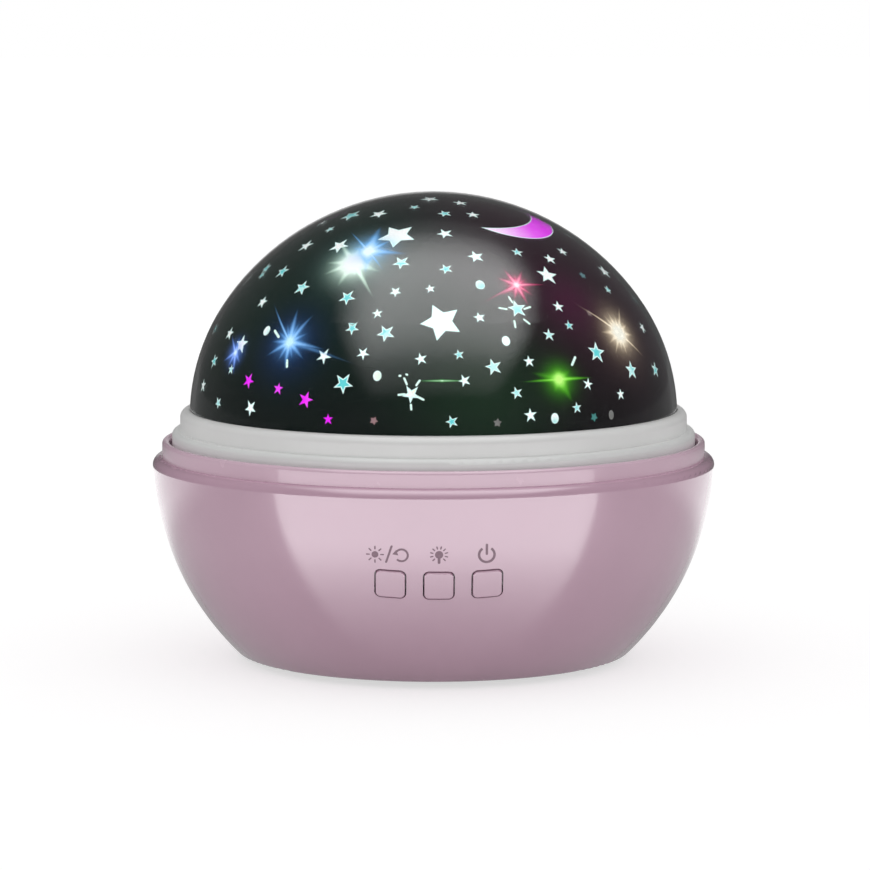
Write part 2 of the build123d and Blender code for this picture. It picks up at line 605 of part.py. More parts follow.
def board_screw_places():
    """Places of the four screws of the main board."""
    x = MAIN_BOARD_WIDTH / 2 - BOARD_SCREW_INSET
    y = MAIN_BOARD_LENGTH / 2 - BOARD_SCREW_INSET
    return [(sx * x, sy * y) for sx in (-1, 1) for sy in (-1, 1)]


def foot_places():
    """Places of the four feet, between the door and the housing screws."""
    x, y = spot(COVER_RADIUS - FOOT_INSET, FOOT_ANGLE)
    return [(sx * x, sy * y) for sx in (-1, 1) for sy in (-1, 1)]


def bottom_cover():
    """Round cover with the battery bay, foot recesses and screw holes."""
    cover = post(COVER_RADIUS, BOTTOM_Z, COVER_TOP_Z) + battery_bay()
    seat = extrude(Pos(0, 0, BOTTOM_Z - 1) * door_outline(DOOR_GAP), BAY_FLOOR_Z - BOTTOM_Z + 1)
    cover = cover - seat - block(BAY_WIDTH, BAY_LENGTH, BOTTOM_Z, BAY_TOP_Z)
    cuts = [post(FOOT_RADIUS, BOTTOM_Z - 1, BOTTOM_Z + FOOT_RECESS, x, y) for x, y in foot_places()]
    for x, y in [spot(HOUSING_SCREW_CIRCLE, angle) for angle in HOUSING_SCREW_ANGLES]:
        cuts.append(post(SCREW_HEAD_RADIUS + SCREW_PASS, BOTTOM_Z - 1, SCREW_SEAT_Z, x, y))
        cuts.append(post(SCREW_RADIUS + SCREW_PASS, BOTTOM_Z, COVER_TOP_Z + 1, x, y))
    bore_top = SCREW_SEAT_Z + SCREW_LENGTH + SCREW_PASS
    for x, y in door_screw_places():
        cuts.append(post(SCREW_RADIUS + SCREW_FIT, BOTTOM_Z, bore_top, x, y))
    for x, y in board_screw_places():
        low = BOARD_Z + BOARD_THICKNESS - SMALL_SCREW_LENGTH
        cuts.append(post(SMALL_SCREW_RADIUS + SCREW_FIT, low, BOARD_Z + 1, x, y))
    return cover - cuts


def battery_door():
    """Door over the cells, with countersunk screw seats and finger grooves."""
    door = extrude(Pos(0, 0, BOTTOM_Z) * door_outline(0), DOOR_THICKNESS)
    for x, y in door_screw_places():
        door = door - post(SCREW_HEAD_RADIUS + SCREW_PASS, BOTTOM_Z - 1, SCREW_SEAT_Z, x, y)
        door = door - post(SCREW_RADIUS + SCREW_FIT, BOTTOM_Z, DOOR_TOP_Z + 1, x, y)
    for index in range(DOOR_GRIP_COUNT):
        y = (index - (DOOR_GRIP_COUNT - 1) / 2) * DOOR_GRIP_PITCH
        groove = Pos(0, y, BOTTOM_Z) * (Rot(0, 90, 0) * Cylinder(DOOR_GRIP_DEPTH, BAY_WIDTH / 2))
        door = door - groove
    return door


def cell_places():
    """Places of the cells across the bay, each with the way its cap points."""
    pitch = 2 * CELL_RADIUS + CELL_GAP
    return [((index - (CELL_COUNT - 1) / 2) * pitch, (-1) ** index) for index in range(CELL_COUNT)]


CELL_Z = BAY_FLOOR_Z + CELL_RADIUS + CELL_LIFT


def battery_cells():
    """Cells side by side, caps to alternate ends."""
    can_length = CELL_LENGTH - CELL_CAP_LENGTH
    can = Pos(0, -CELL_CAP_LENGTH / 2, 0) * (Rot(90, 0, 0) * Cylinder(CELL_RADIUS, can_length))
    cap_y = can_length / 2
    cap = Pos(0, cap_y, 0) * (Rot(90, 0, 0) * Cylinder(CELL_CAP_RADIUS, CELL_CAP_LENGTH))
    cell = can + cap
    return joined(Pos(x, 0, CELL_Z) * (Rot(0, 0, 90 - 90 * way) * cell) for x, way in cell_places())


def contact_leaf():
    """Sprung contact: a flat plate with a leaf bowed towards +Y."""
    half = CONTACT_WIDTH / 2
    inner_half = half - 2 * CONTACT_SHEET
    outer = ThreePointArc((-half, 0), (0, CONTACT_BOW + CONTACT_SHEET), (half, 0))
    inner = ThreePointArc((inner_half, 0), (0, CONTACT_BOW), (-inner_half, 0))
    ends = [Line((half, 0), (inner_half, 0)), Line((-inner_half, 0), (-half, 0))]
    plate = Pos(0, -CONTACT_SHEET / 2, 0) * Rectangle(CONTACT_WIDTH, CONTACT_SHEET)
    leaf = make_face([outer, inner, *ends])
    return Pos(0, 0, -CONTACT_HEIGHT / 2) * extrude(leaf + plate, CONTACT_HEIGHT)


def battery_contacts():
    """A contact at each end of each cell."""
    wall = BAY_LENGTH / 2 - CONTACT_SHEET
    pieces = []
    for x, way in cell_places():
        pieces.append(Pos(x, -wall, CELL_Z) * contact_leaf())
        pieces.append(Pos(x, wall, CELL_Z) * (Rot(0, 0, HALF_TURN) * contact_leaf()))
    return joined(pieces)


def rubber_feet():
    """Four round feet in their recesses."""
    feet = []
    for x, y in foot_places():
        foot = post(FOOT_RADIUS - FOOT_FIT, 0, BOTTOM_Z + FOOT_RECESS, x, y)
        rim = foot.faces().sort_by(Axis.Z)[0].edges()
        feet.append(fillet(rim, min(FOOT_ROUND, FOOT_PROUD / 2)))
    return joined(feet)


def housing_screws():
    """Screws that pull the bottom cover to the bowl."""
    place = Pos(HOUSING_SCREW_CIRCLE, 0, SCREW_SEAT_Z)
    return joined(about_axis(place * big_screw(), HOUSING_SCREW_ANGLES))


def battery_door_screws():
    """Captive screws of the battery door."""
    return joined(Pos(x, y, SCREW_SEAT_Z) * big_screw() for x, y in door_screw_places())


# ---------------------------------------------------------------- deck
def snap_hook():
    """Hook that reaches over the ring gear's teeth and keeps the turntable down."""
    outer = RING_TIP_RADIUS - HOOK_CLEARANCE
    catch = GEAR_TOP_Z + PINION_OVERLAP
    blade = ring(outer - HOOK_THICKNESS, outer, DECK_LOW_Z, catch + HOOK_HEIGHT)
    barb = ring(outer - HOOK_THICKNESS, outer + HOOK_BARB, catch, catch + HOOK_HEIGHT)
    width = radians(HOOK_ARC) * outer
    hook = (blade + barb) & block(LIP_OUTER_RADIUS, width, DECK_LOW_Z, TABLE_TOP_Z, LIP_OUTER_RADIUS / 2)
    corner = hook.edges().filter_by(GeomType.CIRCLE).sort_by(Axis.Z)[-2:].sort_by(Axis.X)[-1]
    return chamfer(corner, min(HOOK_BARB, HOOK_HEIGHT) / 2)


def motor_bush_hole():
    """Hole of the deck for the gearbox's bush."""
    return post(MOTOR_BUSH_RADIUS + MOTOR_BUSH_FIT, DECK_LOW_Z - 1, DECK_Z + 1, PINION_X)


def deck_frame():
    """Deck that closes the bowl, with its lip, hub and snap hooks."""
    lip = ring(LIP_INNER_RADIUS, LIP_OUTER_RADIUS, RIM_Z, LIP_TOP_Z)
    lip = fillet(lip.faces().sort_by(Axis.Z)[-1].edges(), min(LIP_ROUND, LIP_WALL / 2 - RIM_FIT))
    deck = lip + ring(LIP_INNER_RADIUS, DECK_SKIRT_RADIUS, DECK_LOW_Z, RIM_Z)
    deck = deck + post(LIP_INNER_RADIUS, DECK_LOW_Z, DECK_Z)
    deck = deck + ring(HUB_INNER_RADIUS, HUB_OUTER_RADIUS, DECK_LOW_Z, HUB_TOP_Z)
    deck = deck + about_axis(snap_hook(), around(HOOK_COUNT, HOOK_FIRST_ANGLE))
    screw_hole = post(SCREW_RADIUS + SCREW_PASS, DECK_LOW_Z - 1, DECK_Z + 1, DECK_SCREW_CIRCLE)
    cuts = about_axis(screw_hole, DECK_SCREW_ANGLES)
    bore = SMALL_SCREW_RADIUS + SCREW_FIT
    post_bore = post(bore, post_screw_z() - SMALL_SCREW_LENGTH, DECK_Z + 1, POST_SCREW_CIRCLE)
    cuts += about_axis(post_bore, around(POST_SCREW_COUNT))
    low = DECK_LOW_Z - BRACKET_WALL
    cuts += [post(bore, DECK_LOW_Z - 1, low + SMALL_SCREW_LENGTH, x, y) for x, y in bracket_screw_places()]
    cuts.append(post(WIRE_HOLE_RADIUS, DECK_LOW_Z - 1, DECK_Z + 1))
    cuts.append(motor_bush_hole())
    return deck - cuts


def deck_screws():
    """Screws that hold the deck to the bowl."""
    place = Pos(DECK_SCREW_CIRCLE, 0, DECK_Z)
    return joined(about_axis(place * turned_over(big_screw()), DECK_SCREW_ANGLES))


# ---------------------------------------------------------------- light
POST_TOP_Z = DECK_Z + POST_HEIGHT
LED_BOARD_TOP_Z = POST_TOP_Z + LED_BOARD_THICKNESS


def post_screw_z():
    """Level of the light post's screw heads."""
    return DECK_Z + POST_FLANGE_THICKNESS


def light_post():
    """Hollow tapered post that lifts the lamps into the dome."""
    outside = Pos(0, 0, DECK_Z) * Cone(POST_BASE_RADIUS, POST_TOP_RADIUS, POST_HEIGHT, align=UP)
    inside = Pos(0, 0, DECK_Z) * Cone(POST_BASE_RADIUS - POST_WALL, POST_TOP_RADIUS - POST_WALL,
                                      POST_HEIGHT, align=UP)
    flange = post(POST_FLANGE_RADIUS, DECK_Z, post_screw_z())
    hole = post(SMALL_SCREW_RADIUS + SCREW_PASS / 2, DECK_Z - 1, post_screw_z() + 1, POST_SCREW_CIRCLE)
    return outside + flange - inside - about_axis(hole, around(POST_SCREW_COUNT))


def post_screws():
    """Screws that hold the light post to the deck."""
    place = Pos(POST_SCREW_CIRCLE, 0, post_screw_z())
    return joined(about_axis(place * turned_over(small_screw()), around(POST_SCREW_COUNT)))


def led_board():
    """Round board on the post's top."""
    return post(LED_BOARD_RADIUS, POST_TOP_Z, LED_BOARD_TOP_Z)


def led_lamps():
    """Round-headed lamps in a ring on their board."""
    body_top = LED_BOARD_TOP_Z + LED_HEIGHT - LED_RADIUS
    lamp = post(LED_RADIUS, LED_BOARD_TOP_Z, body_top) + Pos(0, 0, body_top) * Sphere(LED_RADIUS)
    lamp = lamp + post(LED_RADIUS + LED_FLANGE, LED_BOARD_TOP_Z, LED_BOARD_TOP_Z + LED_FLANGE_THICKNESS)
    return joined(about_axis(Pos(LED_CIRCLE, 0, 0) * lamp, around(LED_COUNT, 180 / LED_COUNT)))


# ---------------------------------------------------------------- motor
GEARBOX_LOW_Z = DECK_LOW_Z - GEARBOX_LENGTH
CAN_LOW_Z = GEARBOX_LOW_Z - CAN_LENGTH
SHAFT_LOW_Z = DECK_LOW_Z - SHAFT_DEPTH
PINION_LOW_Z = GEAR_LOW_Z - PINION_OVERLAP
PINION_TOP_Z = GEAR_TOP_Z + PINION_OVERLAP


def gearbox():
    """Reduction gearbox of the motor with its shaft bush."""
    box = block(MOTOR_DEPTH, MOTOR_WIDTH, GEARBOX_LOW_Z, DECK_LOW_Z, PINION_X)
    bush = post(MOTOR_BUSH_RADIUS, DECK_LOW_Z, DECK_LOW_Z + MOTOR_BUSH_HEIGHT, PINION_X)
    bore = post(SHAFT_RADIUS + SHAFT_FIT, SHAFT_LOW_Z - SHAFT_FIT, DECK_Z, PINION_X)
    return box + bush - bore


def motor_can():
    """Flat-sided can of the motor."""
    body = post(MOTOR_WIDTH / 2, CAN_LOW_Z, GEARBOX_LOW_Z, PINION_X)
    return body & block(MOTOR_DEPTH, MOTOR_WIDTH, CAN_LOW_Z, GEARBOX_LOW_Z, PINION_X)


def motor_end_cap():
    """Plastic end cap of the motor with its two terminals."""
    low = CAN_LOW_Z - MOTOR_CAP_LENGTH
    depth = MOTOR_DEPTH - 2 * MOTOR_CAP_MARGIN
    width = MOTOR_WIDTH - 2 * MOTOR_CAP_MARGIN
    cap = post(width / 2, low, CAN_LOW_Z, PINION_X) & block(depth, width, low, CAN_LOW_Z, PINION_X)
    for side in (-1, 1):
        y = side * TERMINAL_SPAN / 2
        cap = cap + block(TERMINAL_WIDTH, TERMINAL_SHEET, low - TERMINAL_LENGTH, low, PINION_X, y)
    return cap


def bracket_screw_places():
    """Places of the two screws of the motor bracket."""
    y = MOTOR_WIDTH / 2 + BRACKET_WALL + BRACKET_EAR / 2
    return [(PINION_X, side * y) for side in (-1, 1)]


def motor_bracket():
    """Frame about the gearbox with an ear on each side, screwed up into the deck."""
    low = DECK_LOW_Z - BRACKET_HEIGHT
    depth = MOTOR_DEPTH + 2 * BRACKET_WALL
    width = MOTOR_WIDTH + 2 * BRACKET_WALL
    frame = block(depth, width, low, DECK_LOW_Z, PINION_X)
    ears = block(MOTOR_DEPTH, width + 2 * BRACKET_EAR, DECK_LOW_Z - BRACKET_WALL, DECK_LOW_Z, PINION_X)
    bracket = frame + ears - block(MOTOR_DEPTH, MOTOR_WIDTH, low - 1, DECK_LOW_Z + 1, PINION_X)
    hole = SMALL_SCREW_RADIUS + SCREW_PASS / 2
    return bracket - [post(hole, low, DECK_LOW_Z + 1, x, y) for x, y in bracket_screw_places()]


def bracket_screws():
    """Screws that hold the bracket up against the deck."""
    low = DECK_LOW_Z - BRACKET_WALL
    return joined(Pos(x, y, low) * small_screw() for x, y in bracket_screw_places())


def involute(angle):
    """Involute function of an angle in radians."""
    return tan(angle) - angle


def half_tooth(teeth, radius):
    """Half of the angle that an involute tooth covers at a radius, in radians."""
    base = GEAR_MODULE * teeth / 2 * cos(radians(PRESSURE_ANGLE))
    at_radius = acos(base / max(radius, base))
    return pi / (2 * teeth) + involute(radians(PRESSURE_ANGLE)) - involute(at_radius)


def gear_outline(teeth, flank, first):
    """Closed gear outline from the flank's radii and half angles, first tooth at an angle."""
    points = []
    for index in range(teeth):
        middle = first + index * 2 * pi / teeth
        points += [spot(radius, degrees(middle - half)) for radius, half in flank]
        points += [spot(radius, degrees(middle + half)) for radius, half in reversed(flank)]
    return outline(points)


def drive_pinion():
    """Pinion of the drive with its flatted bore."""
    slack = GEAR_BACKLASH / 4 / PINION_PITCH_RADIUS
    base = PINION_PITCH_RADIUS * cos(radians(PRESSURE_ANGLE))
    steps = [base + (PINION_TIP_RADIUS - base) * index / FLANK_STEPS for index in range(FLANK_STEPS + 1)]
    flank = [(radius, half_tooth(PINION_TEETH, radius) - slack) for radius in [PINION_ROOT_RADIUS, *steps]]
    gear = extrude(gear_outline(PINION_TEETH, flank, 0), PINION_TOP_Z - PINION_LOW_Z)
    low = PINION_LOW_Z - 1
    return Pos(PINION_X, 0, PINION_LOW_Z) * gear - shaft_body(low, PINION_TOP_Z + 1, low)


def shaft_body(low, high, flat_low):
    """Round shaft with a flat above a level."""
    flat = block(SHAFT_FLAT, 2 * SHAFT_RADIUS, flat_low, high, PINION_X + SHAFT_RADIUS - SHAFT_FLAT / 2)
    return post(SHAFT_RADIUS, low, high, PINION_X) - flat


def motor_shaft():
    """Flatted output shaft of the gearbox."""
    return shaft_body(SHAFT_LOW_Z, PINION_TOP_Z, PINION_LOW_Z)


# ---------------------------------------------------------------- turntable
def ring_gear():
    """Ring with the turntable's internal teeth."""
    slack = GEAR_BACKLASH / 4 / RING_PITCH_RADIUS
    pitch = 2 * pi / RING_TEETH
    radii = (RING_ROOT_RADIUS, RING_PITCH_RADIUS, RING_TIP_RADIUS)
    flank = [(radius, pitch / 2 - half_tooth(RING_TEETH, radius) - slack) for radius in radii]
    space = extrude(gear_outline(RING_TEETH, flank, pitch / 2), GEAR_FACE + 2)
    return post(GEAR_SKIRT_RADIUS, GEAR_LOW_Z, GEAR_TOP_Z) - Pos(0, 0, GEAR_LOW_Z - 1) * space


def collar_keys(margin):
    """Keys between collar and spigot, grown by a margin."""
    depth = KEY_DEPTH + margin
    key = block(depth + 2, KEY_WIDTH + 2 * margin, COLLAR_Z, COLLAR_Z + SPIGOT_HEIGHT + 1,
                COLLAR_BORE - depth / 2 + 1)
    return about_axis(key, around(KEY_COUNT, 90))


def turntable():
    """Ring that carries the dome, with its skirts, spigot and ring gear."""
    web = ring(TABLE_BORE, TABLE_RADIUS, WEB_Z, TABLE_TOP_Z)
    rim = web.edges().filter_by(GeomType.CIRCLE).sort_by(SortBy.RADIUS)[-2:].sort_by(Axis.Z)[-1]
    table = fillet(rim, min(TABLE_ROUND, TABLE_WEB / 2))
    table = table + ring(TABLE_RADIUS - TABLE_SKIRT_WALL, TABLE_RADIUS, WEB_Z - TABLE_SKIRT_DROP, WEB_Z)
    table = table + ring(RING_ROOT_RADIUS, GEAR_SKIRT_RADIUS, GEAR_LOW_Z, WEB_Z)
    table = table + ring(TABLE_BORE, SPIGOT_RADIUS, TABLE_TOP_Z, TABLE_TOP_Z + SPIGOT_HEIGHT)
    return table + ring_gear() - collar_keys(KEY_FIT)


# ---------------------------------------------------------------- dome
def dome_body(inset):
    """Turned body that follows the dome drawn in by an inset, down to the collar's floor."""
    haunch = DOME_HAUNCH_ARC - inset
    top = DOME_TOP_ARC - inset
    side = DOME_RADIUS - inset

    def on_haunch(angle):
        return HAUNCH_R + haunch * sin(angle), DOME_EQUATOR_Z + haunch * cos(angle)

    def on_top(angle):
        return top * sin(angle), DOME_EQUATOR_Z - TOP_ARC_DROP + top * cos(angle)

    foot = Polyline(on_top(0), (0, DOME_SEAT_Z), (side, DOME_SEAT_Z), (side, DOME_EQUATOR_Z))
    middle = (pi / 2 + HAUNCH_ANGLE) / 2
    lower = ThreePointArc((side, DOME_EQUATOR_Z), on_haunch(middle), on_haunch(HAUNCH_ANGLE))
    upper = ThreePointArc(on_haunch(HAUNCH_ANGLE), on_top(HAUNCH_ANGLE / 2), on_top(0))
    return revolve(Plane.XZ * make_face([*foot.edges(), lower, upper]), Axis.Z)


def dome_shell(inset, wall):
    """Shell of even thickness under the dome's outside."""
    return dome_body(inset) - dome_body(inset + wall)


def dome_reach(elevation, inset):
    """Distance from the dome's equator centre to its surface at an elevation in degrees."""
    angle = radians(elevation)
    haunch = DOME_HAUNCH_ARC - inset
    lower = HAUNCH_R * cos(angle) + sqrt(haunch ** 2 - (HAUNCH_R * sin(angle)) ** 2)
    if lower * cos(angle) > HAUNCH_R + haunch * sin(HAUNCH_ANGLE):
        return lower
    top = DOME_TOP_ARC - inset
    return sqrt(top ** 2 - (TOP_ARC_DROP * cos(angle)) ** 2) - TOP_ARC_DROP * sin(angle)


def on_dome(azimuth, elevation, inset):
    """Plane on the dome that faces out, its y axis pointing up the dome."""
    a = radians(azimuth)
    e = radians(elevation)
    out = Vector(sin(a) * cos(e), -cos(a) * cos(e), sin(e))
    return Plane(origin=Vector(0, 0, DOME_EQUATOR_Z) + out * dome_reach(elevation, inset),
                 x_dir=(cos(a), sin(a), 0), z_dir=out)


def star_face(span, turn):
    """Five-pointed star of a given span across its tips."""
    points = []
    for index in range(10):
        radius = span / 2 if index % 2 == 0 else span / 2 * STAR_WAIST
        points.append(spot(radius, 90 - turn - index * 36))
    return outline(points)


def moon_face(margin=0):
    """Crescent that opens along its turned axis, grown by a margin."""
    x, y = spot(MOON_BITE_SHIFT, 90 - MOON_TURN)
    return Circle(MOON_RADIUS + margin) - Pos(x, y) * Circle(MOON_BITE_RADIUS - margin)


def map_prism(azimuth, elevation, face, inset):
    """Prism of a face through the mask or its films, at its place on the star map."""
    place = on_dome(azimuth * MAP_SPREAD + MAP_TURN, elevation * MAP_SPREAD, inset)
    return place * (Pos(0, 0, -CUT_DEPTH) * extrude(face, 2 * CUT_DEPTH))


def cutter(azimuth, elevation, face):
    """Prism of a face through the mask."""
    return map_prism(azimuth, elevation, face, MASK_INSET)


def star_mask():
    """Dark mask with the star, spot and moon cut-outs, the map repeated on the other half."""
    stars = WHITE_STARS + CYAN_STARS + MAGENTA_STARS
    cuts = [cutter(azimuth, elevation, star_face(span, turn)) for azimuth, elevation, span, turn in stars]
    for azimuth, elevation, width in OVAL_SPOTS:
        cuts.append(cutter(azimuth, elevation, Ellipse(width / 2, width / 2 * DISC_STRETCH)))
    cuts.append(cutter(MOON_AZIMUTH, MOON_ELEVATION, moon_face()))
    cuts += [Rot(0, 0, HALF_TURN) * cut for cut in cuts]
    mask = dome_shell(MASK_INSET, MASK_WALL)
    for first in range(0, len(cuts), CUTS_AT_ONCE):
        mask = mask - cuts[first:first + CUTS_AT_ONCE]
    return mask


def film_patch(azimuth, elevation, face):
    """Patch of coloured film behind the mask."""
    return dome_shell(WINDOW_INSET, WINDOW_WALL) & map_prism(azimuth, elevation, face, WINDOW_INSET)


def star_patches(stars):
    """Square film patches behind the stars of one colour."""
    sides = [(azimuth, elevation, span + 2 * GEL_MARGIN) for azimuth, elevation, span, _ in stars]
    return [film_patch(azimuth, elevation, Rectangle(side, side)) for azimuth, elevation, side in sides]


def on_both_halves(solids):
    """Film patches repeated on the dome's other half."""
    return joined(solids + [Rot(0, 0, HALF_TURN) * solid for solid in solids])


def cyan_windows():
    """Cyan film windows."""
    return on_both_halves(star_patches(CYAN_STARS))


def magenta_windows():
    """Magenta film windows, the largest behind the moon."""
    moon = film_patch(MOON_AZIMUTH, MOON_ELEVATION, moon_face(GEL_MARGIN))
    return on_both_halves([*star_patches(MAGENTA_STARS), moon])


def dome_cover():
    """Clear outer dome."""
    return dome_shell(0, DOME_WALL)


def diffuser_liner():
    """White translucent liner behind the mask and its windows."""
    return dome_shell(LINER_INSET, LINER_WALL)


def film_ring():
    """Ring that holds the feet of mask and liner in the collar."""
    return ring(COLLAR_BORE + FILM_RING_LAP, FILM_RING_RADIUS, DOME_SEAT_Z, DOME_SEAT_Z + FILM_RING_HEIGHT)


def dome_collar():
    """Collar about the dome's foot with keys for the turntable's spigot."""
    body = post(COLLAR_RADIUS, COLLAR_Z, COLLAR_Z + COLLAR_HEIGHT)
    top = body.faces().sort_by(Axis.Z)[-1].edges()
    wall = COLLAR_RADIUS - DOME_RADIUS - DOME_FIT
    body = fillet(top, min(COLLAR_ROUND, wall - COLLAR_LAND))
    keys = [key & post(COLLAR_BORE + 1, COLLAR_Z, DOME_SEAT_Z) for key in collar_keys(0)]
    body = body - post(DOME_RADIUS + DOME_FIT, DOME_SEAT_Z, COLLAR_Z + COLLAR_HEIGHT + 1)
    return body - post(COLLAR_BORE, COLLAR_Z - 1, DOME_SEAT_Z + 1) + keys


# ---------------------------------------------------------------- buttons
def button_cap(x):
    """Button that follows the bowl's side, with the flange that keeps it in."""
    cap = at_buttons(rounded_block(BUTTON_SIDE, BUTTON_SIDE, BUTTON_CORNER, FLANGE_OUT, BUTTON_STEM), x)
    flange_side = BUTTON_SIDE + 2 * BUTTON_FLANGE
    flange = rounded_block(flange_side, flange_side, BUTTON_CORNER, FLANGE_IN, FLANGE_OUT)
    cap = cap & bowl_body(-BUTTON_PROUD, BOTTOM_Z, RIM_Z)
    rim = cap.faces().sort_by(Axis.Y)[0].edges()
    return fillet(rim, BUTTON_EDGE) + at_buttons(flange, x)


def plunger(x):
    """Round plunger between a button's flange and its switch."""
    return at_buttons(post(PLUNGER_RADIUS, SWITCH_OUT - PLUNGER_GUIDE, FLANGE_IN), x)


def button_switches():
    """Push switches on the button board."""
    depth = PLUNGER_GUIDE + BUTTON_TRAVEL + SWITCH_SLACK
    body = rounded_block(SWITCH_SIDE, SWITCH_SIDE, SWITCH_CORNER, KEY_BOARD_OUT, SWITCH_OUT)
    body = body - post(PLUNGER_RADIUS + PLUNGER_FIT, SWITCH_OUT - depth, SWITCH_OUT + 1)
    return joined(at_buttons(body, x) for x in BUTTON_PLACES)


def button_board():
    """Board behind the front wall that carries the switches."""
    board = block(KEY_BOARD_WIDTH, KEY_BOARD_HEIGHT, KEY_BOARD_IN, KEY_BOARD_OUT)
    for side in (-1, 1):
        hole = post(SCREW_RADIUS + SCREW_PASS, KEY_BOARD_IN - 1, KEY_BOARD_OUT + 1)
        board = board - Pos(side * KEY_BOARD_SCREW_SPAN / 2, 0, 0) * hole
    return at_buttons(board)


def button_board_screws():
    """Screws of the button board."""
    fixing = Pos(0, 0, KEY_BOARD_IN) * big_screw()
    return joined(at_buttons(fixing, side * KEY_BOARD_SCREW_SPAN / 2) for side in (-1, 1))


# ---------------------------------------------------------------- main board
def main_board():
    """Control board on the bay's roof."""
    board = block(MAIN_BOARD_WIDTH, MAIN_BOARD_LENGTH, BOARD_Z, BOARD_Z + BOARD_THICKNESS)
    hole = SMALL_SCREW_RADIUS + SCREW_PASS / 2
    return board - [post(hole, BOARD_Z - 1, BOARD_Z + 2 * BOARD_THICKNESS, x, y)
                    for x, y in board_screw_places()]


def on_board(size, place):
    """Block of a component on the main board."""
    top = BOARD_Z + BOARD_THICKNESS
    return block(size[0], size[1], top, top + size[2], place[0], place[1])


def board_components():
    """Chips, plugs and the storage coil of the main board."""
    top = BOARD_Z + BOARD_THICKNESS
    pieces = [on_board(CHIP_SIZE, CHIP_PLACE), post(COIL_RADIUS, top, top + COIL_HEIGHT, *COIL_PLACE)]
    pieces += [on_board(PLUG_SIZE, place) for place in PLUG_PLACES]
    pieces += [on_board(CHIP_SMALL_SIZE, place) for place in CHIP_SMALL_PLACES]
    return joined(pieces)


def board_screws():
    """Screws of the main board."""
    fixing = turned_over(small_screw())
    return joined(Pos(x, y, BOARD_Z + BOARD_THICKNESS) * fixing for x, y in board_screw_places())


# ---------------------------------------------------------------- power socket
def socket_box(width, thickness, back, front):
    """Block about the socket's middle between two distances from the axis."""
    return Pos(0, (back + front) / 2, SOCKET_HEIGHT) * Box(width, front - back, thickness)


def power_socket():
    """Sheet-metal socket with its contact tongue."""
    front = SOCKET_FRONT_Y + SOCKET_OVERHANG
    back = front - SOCKET_DEPTH
    shell = socket_box(SOCKET_WIDTH, SOCKET_THICKNESS, back, front)
    mouth = (SOCKET_WIDTH - 2 * SOCKET_SHEET, SOCKET_THICKNESS - 2 * SOCKET_SHEET)
    shell = shell - socket_box(*mouth, back + SOCKET_SHEET, front + 1)
    return shell + socket_box(SOCKET_TONGUE_WIDTH, SOCKET_TONGUE_THICKNESS, back, front - SOCKET_SHEET)


def socket_board():
    """Small board that carries the socket."""
    length = SOCKET_BOARD_LENGTH
    board = block(SOCKET_BOARD_WIDTH, length, SOCKET_BOARD_Z - BOARD_THICKNESS, SOCKET_BOARD_Z,
                  0, SOCKET_FRONT_Y - length / 2)
    hole = SMALL_SCREW_RADIUS + SCREW_PASS / 2
    return board - [post(hole, SOCKET_BOARD_Z - 2 * BOARD_THICKNESS, SOCKET_BOARD_Z + 1, x, y)
                    for x, y in socket_screw_places()]


def socket_screws():
    """Screws of the socket's board."""
    fixing = turned_over(small_screw())
    return joined(Pos(x, y, SOCKET_BOARD_Z) * fixing for x, y in socket_screw_places())


# ---------------------------------------------------------------- parts
ROTATION_X, LAMP_X, POWER_X = BUTTON_PLACES

PARTS = {
    "base_bowl": base_bowl,
    "bottom_cover": bottom_cover,
    "battery_door": battery_door,
    "battery_door_screws": battery_door_screws,
    "battery_cells": battery_cells,
    "battery_contacts": battery_contacts,
    "rubber_feet": rubber_feet,
    "housing_screws": housing_screws,
    "deck_frame": deck_frame,
    "deck_screws": deck_screws,
    "light_post": light_post,
    "post_screws": post_screws,
    "led_board": led_board,
    "led_lamps": led_lamps,
    "gearbox": gearbox,
    "motor_can": motor_can,
    "motor_end_cap": motor_end_cap,
    "motor_bracket": motor_bracket,
    "bracket_screws": bracket_screws,
    "drive_pinion": drive_pinion,
    "motor_shaft": motor_shaft,
    "turntable": turntable,
    "dome_collar": dome_collar,
    "film_ring": film_ring,
    "dome_cover": dome_cover,
    "star_mask": star_mask,
    "cyan_windows": cyan_windows,
    "magenta_windows": magenta_windows,
    "diffuser_liner": diffuser_liner,
    "rotation_button": lambda: button_cap(ROTATION_X),
    "lamp_button": lambda: button_cap(LAMP_X),
    "power_button": lambda: button_cap(POWER_X),
    "rotation_plunger": lambda: plunger(ROTATION_X),
    "lamp_plunger": lambda: plunger(LAMP_X),
    "power_plunger": lambda: plunger(POWER_X),
    "button_switches": button_switches,
    "button_board": button_board,
    "button_board_screws": button_board_screws,
    "main_board": main_board,
    "board_components": board_components,
    "board_screws": board_screws,
    "power_socket": power_socket,
    "socket_board": socket_board,
    "socket_screws": socket_screws,
}

os.makedirs("parts", exist_ok=True)
for part_name, build in PARTS.items():
    export_step(build(), f"parts/{part_name}.step")
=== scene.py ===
import logging
import math
from dataclasses import dataclass
from enum import IntEnum
from functools import cached_property
from typing import ClassVar, Optional, Sequence, Union

import bmesh
import bpy
from mathutils import Matrix, Vector


